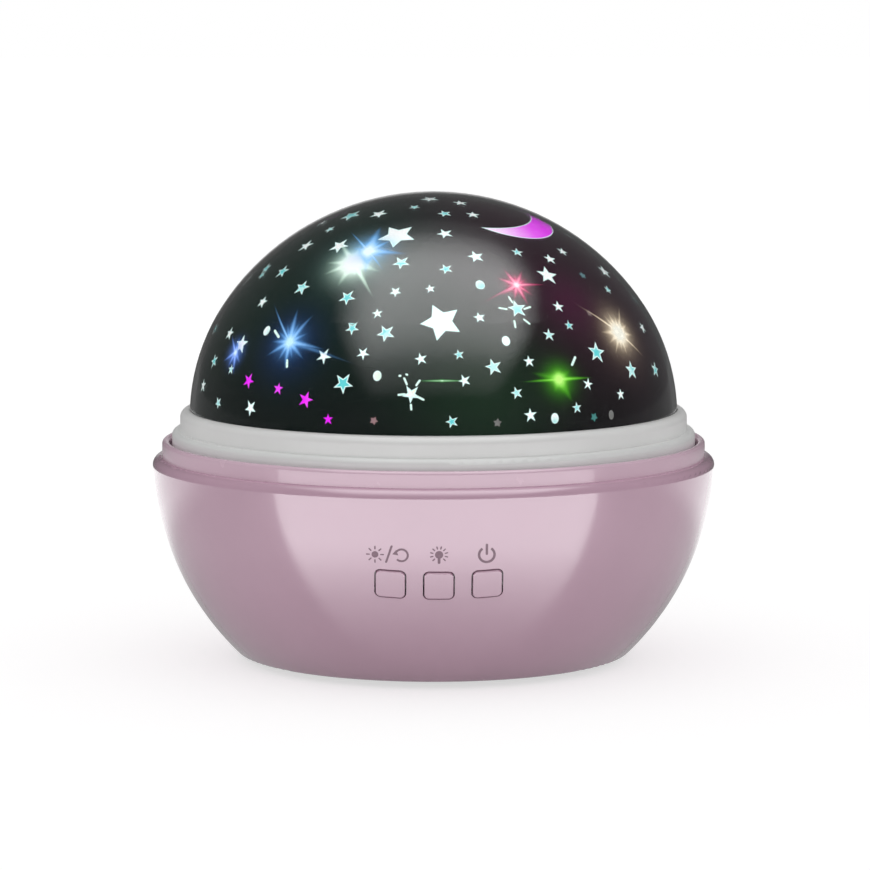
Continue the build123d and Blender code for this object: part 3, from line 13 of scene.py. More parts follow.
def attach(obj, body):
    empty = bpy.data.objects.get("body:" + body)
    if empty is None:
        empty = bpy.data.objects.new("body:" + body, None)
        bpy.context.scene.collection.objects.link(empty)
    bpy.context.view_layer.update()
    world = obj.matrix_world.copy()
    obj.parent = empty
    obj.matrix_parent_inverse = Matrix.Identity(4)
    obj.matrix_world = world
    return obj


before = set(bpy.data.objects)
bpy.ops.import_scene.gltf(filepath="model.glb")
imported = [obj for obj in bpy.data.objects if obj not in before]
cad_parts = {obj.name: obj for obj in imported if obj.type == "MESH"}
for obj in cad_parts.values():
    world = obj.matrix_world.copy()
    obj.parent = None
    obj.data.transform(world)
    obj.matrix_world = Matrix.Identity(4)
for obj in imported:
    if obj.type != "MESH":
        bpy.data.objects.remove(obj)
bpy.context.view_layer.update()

MM = 0.001
MERGE_M = 0.001 * MM
LOG = logging.getLogger("star_night_light")

Colour = tuple[float, float, float]
Span = tuple[float, float]
Form = bmesh.types.BMesh
Face = bmesh.types.BMFace
Material = bpy.types.Material
Number = Union[float, "Signal"]


def linear(colour: Colour) -> Colour:
    """Turns a display colour into scene-linear light.

    Args:
        colour: red, green and blue from 0 to 255.

    Returns:
        The same colour in linear light, from 0 to 1.
    """
    def channel(level: float) -> float:
        """Converts one channel."""
        share = level / 255
        return share / 12.92 if share <= 0.04045 else ((share + 0.055) / 1.055) ** 2.4

    return tuple(channel(level) for level in colour)


def scaled(colour: Colour, share: float) -> Colour:
    """Scales a linear colour, up to full light."""
    return tuple(min(1.0, level * share) for level in colour)


# Shader maths
class Signal:
    """A shader socket that adds Math nodes where it stands in an expression."""

    def __init__(self, shader: "Shader", socket: bpy.types.NodeSocket) -> None:
        """Wraps one output socket."""
        self.shader = shader
        self.socket = socket

    def apply(self, operation: str, *values: Number, clamp: bool = False) -> "Signal":
        """Runs a Math node."""
        settings = {"operation": operation, "use_clamp": clamp}
        return self.shader.result("ShaderNodeMath", settings, dict(enumerate(values)))

    def __add__(self, other: Number) -> "Signal":
        """Sum."""
        return self.apply("ADD", self, other)

    def __sub__(self, other: Number) -> "Signal":
        """Difference."""
        return self.apply("SUBTRACT", self, other)

    def __rsub__(self, other: Number) -> "Signal":
        """Reflected difference."""
        return self.apply("SUBTRACT", other, self)

    def __neg__(self) -> "Signal":
        """Opposite."""
        return 0.0 - self

    def __mul__(self, other: Number) -> "Signal":
        """Product."""
        return self.apply("MULTIPLY", self, other)

    def __truediv__(self, other: Number) -> "Signal":
        """Quotient."""
        return self.apply("DIVIDE", self, other)

    def __pow__(self, other: Number) -> "Signal":
        """Power."""
        return self.apply("POWER", self, other)

    def __abs__(self) -> "Signal":
        """Size without its sign."""
        return self.apply("ABSOLUTE", self)

    def at_least(self, other: Number) -> "Signal":
        """The larger of two numbers."""
        return self.apply("MAXIMUM", self, other)

    def bell(self, width: Number) -> "Signal":
        """Bell curve that is 1 at zero and falls to 0.37 at a width."""
        ratio = self / width
        return self.apply("EXPONENT", -(ratio * ratio))

    def clamped(self) -> "Signal":
        """Held between 0 and 1."""
        return self.apply("ADD", self, 0.0, clamp=True)

    def step(self, low: float, high: float) -> "Signal":
        """Smooth step from 0 at low to 1 at high."""
        return self.shader.result("ShaderNodeMapRange", {"interpolation_type": "SMOOTHSTEP"},
                                  {"Value": self, "From Min": low, "From Max": high})


class Shader:
    """A node tree, of a material or of the world."""

    def __init__(self, owner: Union[Material, bpy.types.World]) -> None:
        """Empties the owner's tree.

        Args:
            owner: the material or world.
        """
        owner.use_nodes = True
        self.owner = owner
        self.nodes = owner.node_tree.nodes
        self.links = owner.node_tree.links
        self.nodes.clear()

    @classmethod
    def material(cls, name: str) -> "Shader":
        """Starts a new material."""
        return cls(bpy.data.materials.new(name))

    def add(self, kind: str, settings: Optional[dict] = None,
            sockets: Optional[dict] = None) -> bpy.types.Node:
        """Adds a node.

        Args:
            kind: the node's type.
            settings: its properties, set first.
            sockets: values or links of its inputs, by name or number.

        Returns:
            The node.
        """
        node = self.nodes.new(kind)
        for name, value in (settings or {}).items():
            setattr(node, name, value)
        for key, value in (sockets or {}).items():
            source = value.socket if isinstance(value, Signal) else value
            if isinstance(source, bpy.types.NodeSocket):
                self.links.new(source, node.inputs[key])
            else:
                node.inputs[key].default_value = source
        return node

    def result(self, kind: str, settings: Optional[dict] = None, sockets: Optional[dict] = None,
               output: Union[int, str] = 0) -> Signal:
        """Adds a node and returns one of its outputs."""
        return Signal(self, self.add(kind, settings, sockets).outputs[output])

    @cached_property
    def place(self) -> Signal:
        """Object coordinates."""
        return self.result("ShaderNodeTexCoord", output="Object")

    def along(self, vector: Signal, direction: Sequence[float]) -> Signal:
        """Length of a vector along a direction."""
        return self.result("ShaderNodeVectorMath", {"operation": "DOT_PRODUCT"},
                           {0: vector, 1: tuple(direction)}, "Value")

    def axes(self, vector: Signal) -> tuple[Signal, Signal, Signal]:
        """Lengths of a vector along the three axes."""
        return tuple(self.along(vector, axis) for axis in ((1, 0, 0), (0, 1, 0), (0, 0, 1)))

    def noise(self, size_mm: float, detail: float = 2.0, vector: Optional[Signal] = None) -> Signal:
        """Noise whose lumps have a size, over a vector or else over the place."""
        sockets = {"Vector": vector or self.place, "Scale": 1 / (size_mm * MM), "Detail": detail}
        return self.result("ShaderNodeTexNoise", {}, sockets)

    def blend(self, share: Number, first: Union[Colour, Signal], second: Union[Colour, Signal]) -> Signal:
        """Mixes two colours."""
        pair = [value if isinstance(value, Signal) else (*value, 1) for value in (first, second)]
        return self.result("ShaderNodeMix", {"data_type": "RGBA"}, {0: share, 6: pair[0], 7: pair[1]}, 2)

    def shades(self, share: Signal, base: Colour, low: float, high: float) -> Signal:
        """Mixes two shades of a linear colour."""
        return self.blend(share, scaled(base, low), scaled(base, high))

    def between(self, share: Signal, first: Number, second: Number) -> Signal:
        """Mixes two numbers."""
        return self.result("ShaderNodeMix", {"data_type": "FLOAT"}, {0: share, 2: first, 3: second}, 0)

    def grey(self, level: Signal) -> Signal:
        """Grey light of a level, as a colour."""
        return self.result("ShaderNodeVectorMath", {"operation": "SCALE"}, {0: (1, 1, 1), "Scale": level})

    def bump(self, height: Number, depth_mm: float) -> Signal:
        """Bump normal from a height signal."""
        return self.result("ShaderNodeBump", {}, {"Height": height, "Distance": depth_mm * MM})

    def surface(self, **sockets: Union[Number, Colour, Signal]) -> None:
        """Ends the tree in a Principled surface.

        Args:
            sockets: its inputs, with underscores for the spaces in their names.
        """
        named = {key.replace("_", " "): value for key, value in sockets.items()}
        for key, value in named.items():
            if isinstance(value, tuple):
                named[key] = (*value, 1)
        skin = self.add("ShaderNodeBsdfPrincipled", {}, named)
        self.add("ShaderNodeOutputMaterial", {}, {"Surface": skin.outputs[0]})


# Finishes
@dataclass(frozen=True)
class Finish:
    """A finish; each kind paints its own nodes."""

    name: str

    def paint(self, shader: Shader) -> None:
        """Adds the nodes."""
        raise NotImplementedError

    def build(self) -> Material:
        """Builds the material.

        Returns:
            The material.
        """
        shader = Shader.material(self.name)
        self.paint(shader)
        return shader.owner


@dataclass(frozen=True)
class MouldedPlastic(Finish):
    """Moulded plastic or rubber with flow mottling, a fine skin and handling marks."""

    colour: Colour
    roughness: float = 0.3
    coat: float = 0.0
    coat_roughness: float = 0.05
    shade_shares: Span = (0.96, 1.04)
    flow_mm: float = 14.0
    marks_mm: float = 5.0
    marks_detail: float = 4.0
    marks_share: float = 0.08
    skin_mm: float = 0.5
    skin_detail: float = 2.0
    skin_depth_mm: float = 0.004

    def paint(self, shader: Shader) -> None:
        """Adds the nodes.

        Args:
            shader: the material's tree.
        """
        base = linear(self.colour)
        flow = shader.noise(self.flow_mm, 3.0)
        marks = shader.noise(self.marks_mm, self.marks_detail)
        skin = shader.noise(self.skin_mm, self.skin_detail)
        shader.surface(Base_Color=shader.shades(flow, base, *self.shade_shares),
                       Roughness=(marks - 0.5) * self.marks_share + self.roughness,
                       Normal=shader.bump(skin, self.skin_depth_mm),
                       Coat_Weight=self.coat, Coat_Roughness=self.coat_roughness)


@dataclass(frozen=True)
class ClearPlastic(Finish):
    """Clear moulded plastic with faint handling marks."""

    tint: Colour = (250, 252, 252)
    roughness: float = 0.02
    refraction: float = 1.46
    marks_mm: float = 9.0

    def paint(self, shader: Shader) -> None:
        """Adds the nodes."""
        marks = shader.noise(self.marks_mm, 4.0)
        shader.surface(Base_Color=linear(self.tint), Roughness=marks * self.roughness + self.roughness,
                       Transmission_Weight=1.0, IOR=self.refraction)


@dataclass(frozen=True)
class GlowSpot:
    """Soft round patch of painted glow, in another colour, on a lit or printed film."""

    colour: Colour
    centre_mm: tuple[float, float, float]
    radius_mm: float

    def over(self, shader: Shader, under: Union[Colour, Signal]) -> Signal:
        """Lays the patch of painted glow over a film's light.

        Args:
            shader: the film's tree.
            under: the film's light colour.

        Returns:
            The colour with the patch.
        """
        centre = tuple(value * MM for value in self.centre_mm)
        settings = {"operation": "DISTANCE"}
        away = shader.result("ShaderNodeVectorMath", settings, {0: shader.place, 1: centre}, "Value")
        return shader.blend(away.bell(self.radius_mm * MM), under, linear(self.colour))


@dataclass(frozen=True)
class PrintedFilm(Finish):
    """Dark printed film with a painted glow, which stands for the lamps' light from behind."""

    glow_spots: tuple[GlowSpot, ...] = ()
    colour: Colour = (13, 13, 14)
    left_glow: Colour = (8, 30, 24)
    right_glow: Colour = (38, 18, 30)
    dim_light: Colour = (0.002, 0.003, 0.003)
    lean: float = 0.5
    lean_from_mm: float = 80.0
    sides_mm: Span = (-6.0, 30.0)
    rise_mm: Span = (56.0, 86.0)
    rise_share: float = 0.8
    cloud_mm: float = 22.0
    cloud_share: float = 0.4
    roughness: float = 0.45
    roughness_gain: float = 0.1
    specular: float = 0.05

    def paint(self, shader: Shader) -> None:
        """Adds the nodes.

        Args:
            shader: the material's tree.
        """
        across, _, height = (axis / MM for axis in shader.axes(shader.place))
        cloud = shader.noise(self.cloud_mm)
        # Painted glow: the emission runs from greenish on the left to purplish on the right, grows higher up
        # the dome and with the clouding, and takes soft patches of painted glow.
        side = (across + (height - self.lean_from_mm) * self.lean).step(*self.sides_mm)
        rise = height.step(*self.rise_mm)
        lit = (rise * self.rise_share + cloud * self.cloud_share).clamped()
        tint = shader.blend(side, linear(self.left_glow), linear(self.right_glow))
        tint = shader.blend(lit, self.dim_light, tint)
        for spot in self.glow_spots:
            tint = spot.over(shader, tint)
        shader.surface(Base_Color=linear(self.colour), Specular_IOR_Level=self.specular,
                       Roughness=cloud * self.roughness_gain + self.roughness,
                       Emission_Color=tint, Emission_Strength=1.0)


@dataclass(frozen=True)
class LitFilm(Finish):
    """Translucent film lit from behind, with soft patches of other colours."""

    colour: Colour
    glow_spots: tuple[GlowSpot, ...] = ()
    pale: Colour = (255, 255, 255)
    pale_share: float = 0.05
    cloud_mm: float = 2.5
    cloud_span: Span = (0.42, 0.66)
    strength: float = 1.05
    unlit_share: float = 0.1
    roughness: float = 0.4
    roughness_gain: float = 0.2
    specular: float = 0.2

    def paint(self, shader: Shader) -> None:
        """Adds the nodes.

        Args:
            shader: the material's tree.
        """
        base = linear(self.colour)
        cloud = shader.noise(self.cloud_mm, 1.0)
        light = shader.blend(cloud.step(*self.cloud_span) * self.pale_share, base, linear(self.pale))
        for spot in self.glow_spots:
            light = spot.over(shader, light)
        shader.surface(Base_Color=scaled(base, self.unlit_share), Specular_IOR_Level=self.specular,
                       Roughness=cloud * self.roughness_gain + self.roughness,
                       Emission_Color=light, Emission_Strength=self.strength)


@dataclass(frozen=True)
class Metal(Finish):
    """Plated or brushed metal with streaks along one axis."""

    colour: Colour
    roughness: float = 0.28
    stretch: tuple[float, float, float] = (1, 1, 12)
    streak_mm: float = 1.2
    streak_share: float = 0.16
    streak_depth_mm: float = 0.004
    dull_share: float = 0.82

    def paint(self, shader: Shader) -> None:
        """Adds the nodes.

        Args:
            shader: the material's tree.
        """
        stretched = shader.result("ShaderNodeMapping", {}, {"Vector": shader.place, "Scale": self.stretch})
        streaks = shader.noise(self.streak_mm, 3.0, stretched)
        base = linear(self.colour)
        shader.surface(Base_Color=shader.shades(streaks, base, self.dull_share, 1.0), Metallic=1.0,
                       Roughness=(streaks - 0.5) * self.streak_share + self.roughness,
                       Normal=shader.bump(streaks, self.streak_depth_mm))


@dataclass(frozen=True)
class Laminate(Finish):
    """Circuit board with copper tracks under green lacquer."""

    lacquer: Colour = (18, 92, 52)
    track: Colour = (44, 128, 74)
    cell_mm: float = 2.4
    track_edge: Span = (0.03, 0.07)
    track_height_mm: float = 0.02
    roughness: float = 0.35

    def paint(self, shader: Shader) -> None:
        """Adds the nodes.

        Args:
            shader: the material's tree.
        """
        cells = shader.result("ShaderNodeTexVoronoi", {"feature": "DISTANCE_TO_EDGE"},
                              {"Vector": shader.place, "Scale": 1 / (self.cell_mm * MM)})
        tracks = cells.step(*self.track_edge)
        shader.surface(Base_Color=shader.blend(tracks, linear(self.track), linear(self.lacquer)),
                       Roughness=self.roughness, Normal=shader.bump(1 - tracks, self.track_height_mm))


@dataclass(frozen=True)
class CellJacket(Finish):
    """Printed jacket of a battery cell with a copper-coloured band at one end."""

    jacket: Colour = (40, 44, 54)
    band: Colour = (190, 128, 74)
    band_edge_mm: Span = (12.0, 12.2)
    scuff_mm: float = 2.0
    roughness: float = 0.25
    roughness_gain: float = 0.2
    metallic: float = 0.6

    def paint(self, shader: Shader) -> None:
        """Adds the nodes.

        Args:
            shader: the material's tree.
        """
        along = shader.along(shader.place, (0, 1, 0)) / MM
        banded = along.step(*self.band_edge_mm)
        scuff = shader.noise(self.scuff_mm, 4.0)
        shader.surface(Base_Color=shader.blend(banded, linear(self.jacket), linear(self.band)),
                       Metallic=self.metallic, Roughness=scuff * self.roughness_gain + self.roughness)


@dataclass(frozen=True)
class PrintedInk(Finish):
    """Printed ink, a little worn."""

    colour: Colour
    wear_mm: float = 0.6
    wear_span: Span = (0.5, 0.8)
    faded_share: float = 1.25
    roughness: float = 0.4

    def paint(self, shader: Shader) -> None:
        """Adds the nodes.

        Args:
            shader: the material's tree.
        """
        base = linear(self.colour)
        wear = shader.noise(self.wear_mm, 3.0).step(*self.wear_span)
        shader.surface(Base_Color=shader.shades(wear, base, 1.0, self.faded_share),
                       Roughness=self.roughness)


# Mesh helpers
def finished(name: str, form: Form, body: str, *materials: Material, smooth: bool = False) -> None:
    """Makes a piece of the object from a mesh.

    Args:
        name: the piece's name.
        form: its mesh, freed here.
        body: the CAD body that it rides on.
        materials: its finishes, in the order of its faces' slots.
        smooth: whether its faces are shaded smooth.
    """
    mesh = bpy.data.meshes.new(name)
    for face in form.faces:
        face.smooth = smooth
    form.to_mesh(mesh)
    form.free()
    for material in materials:
        mesh.materials.append(material)
    piece = bpy.data.objects.new(name, mesh)
    bpy.context.scene.collection.objects.link(piece)
    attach(piece, body)
    LOG.info("piece %s on %s: %d faces", name, body, len(mesh.polygons))


def dress(finish: Finish, *nodes: str) -> Material:
    """Gives CAD nodes their finish.

    Args:
        finish: the finish.
        nodes: the CAD nodes that wear it.

    Returns:
        The finish's material.
    """
    material = finish.build()
    for node in nodes:
        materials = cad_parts[node].data.materials
        materials.clear()
        materials.append(material)
        LOG.info("node %s wears %s", node, finish.name)
    return material


def merged_copy(node: str) -> Form:
    """Copies a CAD node's mesh and merges its doubles.

    Args:
        node: the node's name.

    Returns:
        The copy.
    """
    form = bmesh.new()
    form.from_mesh(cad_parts[node].data)
    bmesh.ops.remove_doubles(form, verts=form.verts, dist=MERGE_M)
    return form


def stroke_place(start: Vector, end: Vector, breadth: float) -> Matrix:
    """Finds the transform that lays a square of 2 mm along a stroke.

    Args:
        start: the stroke's start in millimetres, in the drawing's plane.
        end: its end.
        breadth: its breadth.

    Returns:
        The transform.
    """
    span = end - start
    size = Matrix.Diagonal((span.length / 2, breadth / 2, 1, 1))
    turn = Matrix.Rotation(math.atan2(span.y, span.x), 4, "Z")
    return Matrix.Translation(((start + end) / 2 * MM).to_3d()) @ turn @ size


# Dome
@dataclass(frozen=True)
class DomeForm:
    """The dome's two-arc form, as the solids have it, in millimetres."""

    radius: float = 56.6
    haunch_arc: float = 47.0
    top_arc: float = 58.5
    equator_z: float = 56.1
    film_inset: float = 1.5

    @property
    def haunch_r(self) -> float:
        """Radius at which the haunch arc's centre lies."""
        return self.radius - self.haunch_arc

    @property
    def haunch_angle(self) -> float:
        """Angle from the axis at which the two arcs meet."""
        return math.asin(self.haunch_r / (self.top_arc - self.haunch_arc))

    @property
    def drop(self) -> float:
        """Depth of the top arc's centre below the equator."""
        return (self.top_arc - self.haunch_arc) * math.cos(self.haunch_angle)

    @property
    def centre(self) -> Vector:
        """Centre of the equator, in metres."""
        return Vector((0, 0, self.equator_z)) * MM

    def reach(self, elevation: float, inset: float) -> float:
        """Distance from the equator's centre to the form.

        Args:
            elevation: in radians.
            inset: how far the form is drawn in.

        Returns:
            The distance in millimetres.
        """
        haunch = self.haunch_arc - inset
        lower = (self.haunch_r * math.cos(elevation)
                 + math.sqrt(haunch ** 2 - (self.haunch_r * math.sin(elevation)) ** 2))
        if lower * math.cos(elevation) > self.haunch_r + haunch * math.sin(self.haunch_angle):
            return lower
        top = self.top_arc - inset
        return (math.sqrt(top ** 2 - (self.drop * math.cos(elevation)) ** 2)
                - self.drop * math.sin(elevation))

    def reach_towards(self, line: Vector, inset: float) -> float:
        """Distance from the equator's centre to the form along a line."""
        return self.reach(math.asin(max(-1.0, min(1.0, line.z / line.length))), inset)

    def frame_at(self, azimuth: float, elevation: float, inset: float) -> Matrix:
        """Frame that touches the form, its z axis out and its y axis up the dome.

        Args:
            azimuth: degrees from the front towards +X.
            elevation: degrees above the equator.
            inset: how far the form is drawn in, in millimetres.

        Returns:
            The frame, in metres.
        """
        a = math.radians(azimuth)
        e = math.radians(elevation)
        out = Vector((math.sin(a) * math.cos(e), -math.cos(a) * math.cos(e), math.sin(e)))
        east = Vector((math.cos(a), math.sin(a), 0))
        turn = Matrix((east, out.cross(east), out)).transposed().to_4x4()
        return Matrix.Translation(self.centre + out * self.reach(e, inset) * MM) @ turn

    def glow_spots(self, *patches: tuple[Colour, float, float, float]) -> tuple[GlowSpot, ...]:
        """Makes soft patches of painted glow on the films.

        Args:
            patches: each one's colour, azimuth, elevation and radius in millimetres.

        Returns:
            The patches.
        """
        found = []
        for colour, azimuth, elevation, radius_mm in patches:
            centre = self.frame_at(azimuth, elevation, self.film_inset).translation / MM
            found.append(GlowSpot(colour, tuple(centre), radius_mm))
        return tuple(found)

    def drape(self, form: Form, inset: float) -> None:
        """Moves every point of a mesh onto the form, along its line from the equator's centre."""
        for point in form.verts:
            line = point.co - self.centre
            point.co = self.centre + line.normalized() * self.reach_towards(line, inset) * MM


class Pane(IntEnum):
    """Finishes of the window panes' faces, in the order of their slots."""

    WHITE = 0
    CYAN = 1
    MAGENTA = 2
    RIM = 3
    LEAK = 4
    PRINT = 5


@dataclass
class WindowPanes:
    """Lit panes of the printed film, flush in the mask's openings, with a soft edge of leaked light."""

    form: DomeForm
    mask_inset_mm: float = 1.05
    mask_tolerance_mm: float = 0.15
    least_facing: float = 0.7
    mask_hem_mm: float = 0.4
    pane_inset_mm: float = 1.03
    leak_mm: float = 0.24
    rim_mm: float = 0.24
    rim_share: float = 0.11
    match_mm: float = 2.0
    match_share: float = 0.3
    star_ratio: Span = (0.36, 0.62)
    small_star_mm: float = 5.0
    large_star_mm: float = 8.0
    notch_share: float = 0.34
    least_notch: float = 0.25
    tip_share: float = 0.3
    print_edge_mm: float = 0.01
    print_edge_share: float = 0.01
    oval_mm: float = 2.5
    oval_edge_share: float = 0.12
    longest_edge_mm: float = 2.0
    refinings: int = 3

    def islands(self, node: str) -> list[Vector]:
        """Finds the middle of each separate piece in a CAD node.

        Args:
            node: the node's name.

        Returns:
            The middles of the pieces' boxes.
        """
        form = merged_copy(node)
        middles = []
        left = set(form.verts)
        while left:
            group = set()
            reached = [left.pop()]
            while reached:
                point = reached.pop()
                group.add(point)
                near = {edge.other_vert(point) for edge in point.link_edges} & left
                left -= near
                reached.extend(near)
            ends = [(min(point.co[axis] for point in group), max(point.co[axis] for point in group))
                    for axis in range(3)]
            middles.append(Vector([sum(pair) / 2 for pair in ends]))
        form.free()
        return middles

    def is_outside(self, face: Face) -> bool:
        """Tells whether a face of the mask lies in its outside.

        Args:
            face: the face.

        Returns:
            True if it does.
        """
        line = face.calc_center_median() - self.form.centre
        depth_mm = self.form.reach_towards(line, 0.0) - line.length / MM
        facing = face.normal.dot(line.normalized())
        return facing > self.least_facing and abs(depth_mm - self.mask_inset_mm) < self.mask_tolerance_mm

    def outlines(self) -> Form:
        """Copies the outlines of the openings in the mask's outside and fills each with a face.

        Returns:
            The filled outlines.
        """
        mask = merged_copy("star_mask")
        outside = {face: self.is_outside(face) for face in mask.faces}
        hem_z = min(point.co.z for point in mask.verts) + self.mask_hem_mm * MM
        drawn = bmesh.new()
        copies = {}
        for edge in mask.edges:
            sides = [outside[face] for face in edge.link_faces]
            if sorted(sides) == [False, True] and max(point.co.z for point in edge.verts) > hem_z:
                for point in edge.verts:
                    if point not in copies:
                        copies[point] = drawn.verts.new(point.co)
                drawn.edges.new([copies[point] for point in edge.verts])
        mask.free()
        bmesh.ops.edgeloop_fill(drawn, edges=drawn.edges)
        return drawn

    def sharpen(self, drawn: Form, face: Face,
                middle: Vector) -> list[Face]:
        """Draws a star's notches in and its tips out by a dark printed edge, or edges an oval.

        Args:
            drawn: the panes' mesh.
            face: the pane, which keeps its place inside the edge.
            middle: the pane's middle.

        Returns:
            The faces of the printed edge, or none on a large star or a crescent.
        """
        outline = [point.co.copy() for point in face.verts]
        reach = [(place - middle).length for place in outline]
        nearest, farthest = min(reach), max(reach)
        if not self.star_ratio[0] < nearest / farthest < self.star_ratio[1]:
            if farthest > self.oval_mm * MM:
                return []
            width = farthest * self.oval_edge_share
            return bmesh.ops.inset_individual(drawn, faces=[face], thickness=width)["faces"]
        if farthest > self.large_star_mm * MM:
            return []
        smallness = 1 - farthest / (self.small_star_mm * MM)
        depth = self.notch_share * max(self.least_notch, smallness)
        stretch = self.tip_share * max(0.0, smallness)
        shares = [(length - nearest) / (farthest - nearest) for length in reach]
        for point, place, share in zip(face.verts, outline, shares):
            point.co = middle + (place - middle) * (1 + stretch * share)
        edge = bmesh.ops.inset_individual(drawn, faces=[face], thickness=self.print_edge_mm * MM)
        for point, place, share in zip(face.verts, outline, shares):
            inwards = 1 - depth * (1 - share) - self.print_edge_share
            point.co = middle + (place - middle) * (1 + stretch * share) * inwards
        return edge["faces"]

    def draw_pane(self, drawn: Form, face: Face,
                  films: dict[Pane, list[Vector]]) -> None:
        """Gives a pane its colour, its printed edge and its bright rim.

        Args:
            drawn: the panes' mesh.
            face: the pane.
            films: middles of the coloured films, by colour.
        """
        middle = face.calc_center_bounds()
        span = max((point.co - middle).length for point in face.verts)
        match = max(self.match_mm * MM, span * self.match_share)
        colour = Pane.WHITE
        for film, places in films.items():
            if min((place - middle).length for place in places) < match:
                colour = film
        face.material_index = colour
        for part in self.sharpen(drawn, face, middle):
            part.material_index = Pane.PRINT
        width = min(self.rim_mm * MM, span * self.rim_share)
        ring = bmesh.ops.inset_individual(drawn, faces=[face], thickness=width, use_even_offset=True)
        is_small_magenta = colour == Pane.MAGENTA and span < self.small_star_mm * MM
        for part in ring["faces"]:
            part.material_index = colour if is_small_magenta else Pane.RIM

    def refine(self, drawn: Form) -> None:
        """Divides the long edges, so that the panes can follow the dome.

        Args:
            drawn: the panes' mesh.
        """
        bmesh.ops.triangulate(drawn, faces=drawn.faces)
        for _ in range(self.refinings):
            long = [edge for edge in drawn.edges if edge.calc_length() > self.longest_edge_mm * MM]
            if long:
                bmesh.ops.subdivide_edges(drawn, edges=long, cuts=1)
                bmesh.ops.triangulate(drawn, faces=drawn.faces)

    def build(self, finishes: dict[Pane, Material], body: str) -> None:
        """Builds the panes, each in the colour of the film behind it.

        Args:
            finishes: their materials.
            body: the CAD body that they ride on.
        """
        films = {Pane.CYAN: self.islands("cyan_windows"), Pane.MAGENTA: self.islands("magenta_windows")}
        drawn = self.outlines()
        panes = list(drawn.faces)
        for face in panes:
            self.draw_pane(drawn, face, films)
        around = bmesh.ops.inset_region(drawn, faces=list(drawn.faces), thickness=self.leak_mm * MM,
                                        use_outset=True)
        for part in around["faces"]:
            part.material_index = Pane.LEAK
        self.refine(drawn)
        self.form.drape(drawn, self.pane_inset_mm)
        LOG.info("window panes: %d", len(panes))
        finished("window_panes", drawn, body, *(finishes[pane] for pane in Pane))


@dataclass(frozen=True)
class Ray:
    """One ray of a lamp's glare: its direction, length, breadth and strength."""

    angle: float
    length_mm: float
    breadth_mm: float
    strength: float

    TAPER: ClassVar[float] = 0.7
    TIP_SHARE: ClassVar[float] = 0.15

    def beam(self, u: Signal, v: Signal) -> Signal:
        """Draws the ray.

        Args:
            u: millimetres to the right of the lamp.
            v: millimetres up from it.

        Returns:
            The ray's light.
        """
        turn = math.radians(self.angle)
        along = u * math.cos(turn) + v * math.sin(turn)
        across = v * math.cos(turn) - u * math.sin(turn)
        taper = along.step(self.length_mm, 0.0) ** self.TAPER
        breadth = (taper * (1 - self.TIP_SHARE) + self.TIP_SHARE) * self.breadth_mm
        start = along.step(-self.breadth_mm, self.breadth_mm)
        return across.bell(breadth) * taper * start * self.strength


@dataclass(frozen=True)
class Flare:
    """Star-shaped glare of a lamp on the dome: a core, a halo and rays."""

    name: str
    azimuth: float
    elevation: float
    colour: Colour
    core_mm: float
    halo_mm: float
    halo: float
    rays: tuple[tuple[float, float, float, float], ...]
    core_colour: Colour = (255, 255, 255)

    RAY_REACH: ClassVar[float] = 1.15
    HALO_REACH: ClassVar[float] = 2.2
    CORE_REACH: ClassVar[float] = 2.5
    FADE_SHARE: ClassVar[float] = 0.8
    ROOT_SHARE: ClassVar[float] = 0.8
    CORE_HEAT: ClassVar[float] = 1.1
    RAY_HEAT: ClassVar[float] = 0.42
    STRENGTH: ClassVar[float] = 1.1
    SEGMENTS: ClassVar[int] = 28

    @property
    def reach_mm(self) -> float:
        """Half side of the patch that holds the whole glare."""
        longest = max(row[1] for row in self.rays)
        return max(longest * self.RAY_REACH, self.halo_mm * self.HALO_REACH, self.core_mm * self.CORE_REACH)

    def material(self, base: Matrix) -> Material:
        """Builds the glare's material.

        Args:
            base: the frame at the lamp, in metres.

        Returns:
            The material.
        """
        shader = Shader.material(self.name)
        east, up, centre = base.col[0].xyz, base.col[1].xyz, base.translation
        u = (shader.along(shader.place, east) - centre.dot(east)) / MM
        v = (shader.along(shader.place, up) - centre.dot(up)) / MM
        distance = (u * u + v * v) ** 0.5
        core = distance.bell(self.core_mm)
        spread = distance.bell(self.core_mm * self.ROOT_SHARE)
        for row in self.rays:
            spread = spread.at_least(Ray(*row).beam(u, v))
        light = core + spread + distance.bell(self.halo_mm) * self.halo
        edge = distance.step(self.reach_mm, self.reach_mm * self.FADE_SHARE)
        heat = (core * self.CORE_HEAT + spread * spread * self.RAY_HEAT).clamped()
        tint = shader.blend(heat, linear(self.colour), linear(self.core_colour))
        shader.surface(Base_Color=(0.0, 0.0, 0.0), Specular_IOR_Level=0.0, Roughness=1.0, Emission_Color=tint,
                       Emission_Strength=self.STRENGTH, Alpha=(light * edge).clamped())
        return shader.owner

    def build(self, form: DomeForm, inset: float, body: str) -> None:
        """Builds the glare as a patch draped under the clear dome.

        Args:
            form: the dome's form.
            inset: how far the glare lies under the dome's outside, in millimetres.
            body: the CAD body that it rides on.
        """
        base = form.frame_at(self.azimuth, self.elevation, inset)
        patch = bmesh.new()
        bmesh.ops.create_grid(patch, x_segments=self.SEGMENTS, y_segments=self.SEGMENTS,
                              size=self.reach_mm * MM)
        bmesh.ops.transform(patch, matrix=base, verts=patch.verts)
        form.drape(patch, inset)
        finished(self.name, patch, body, self.material(base), smooth=True)


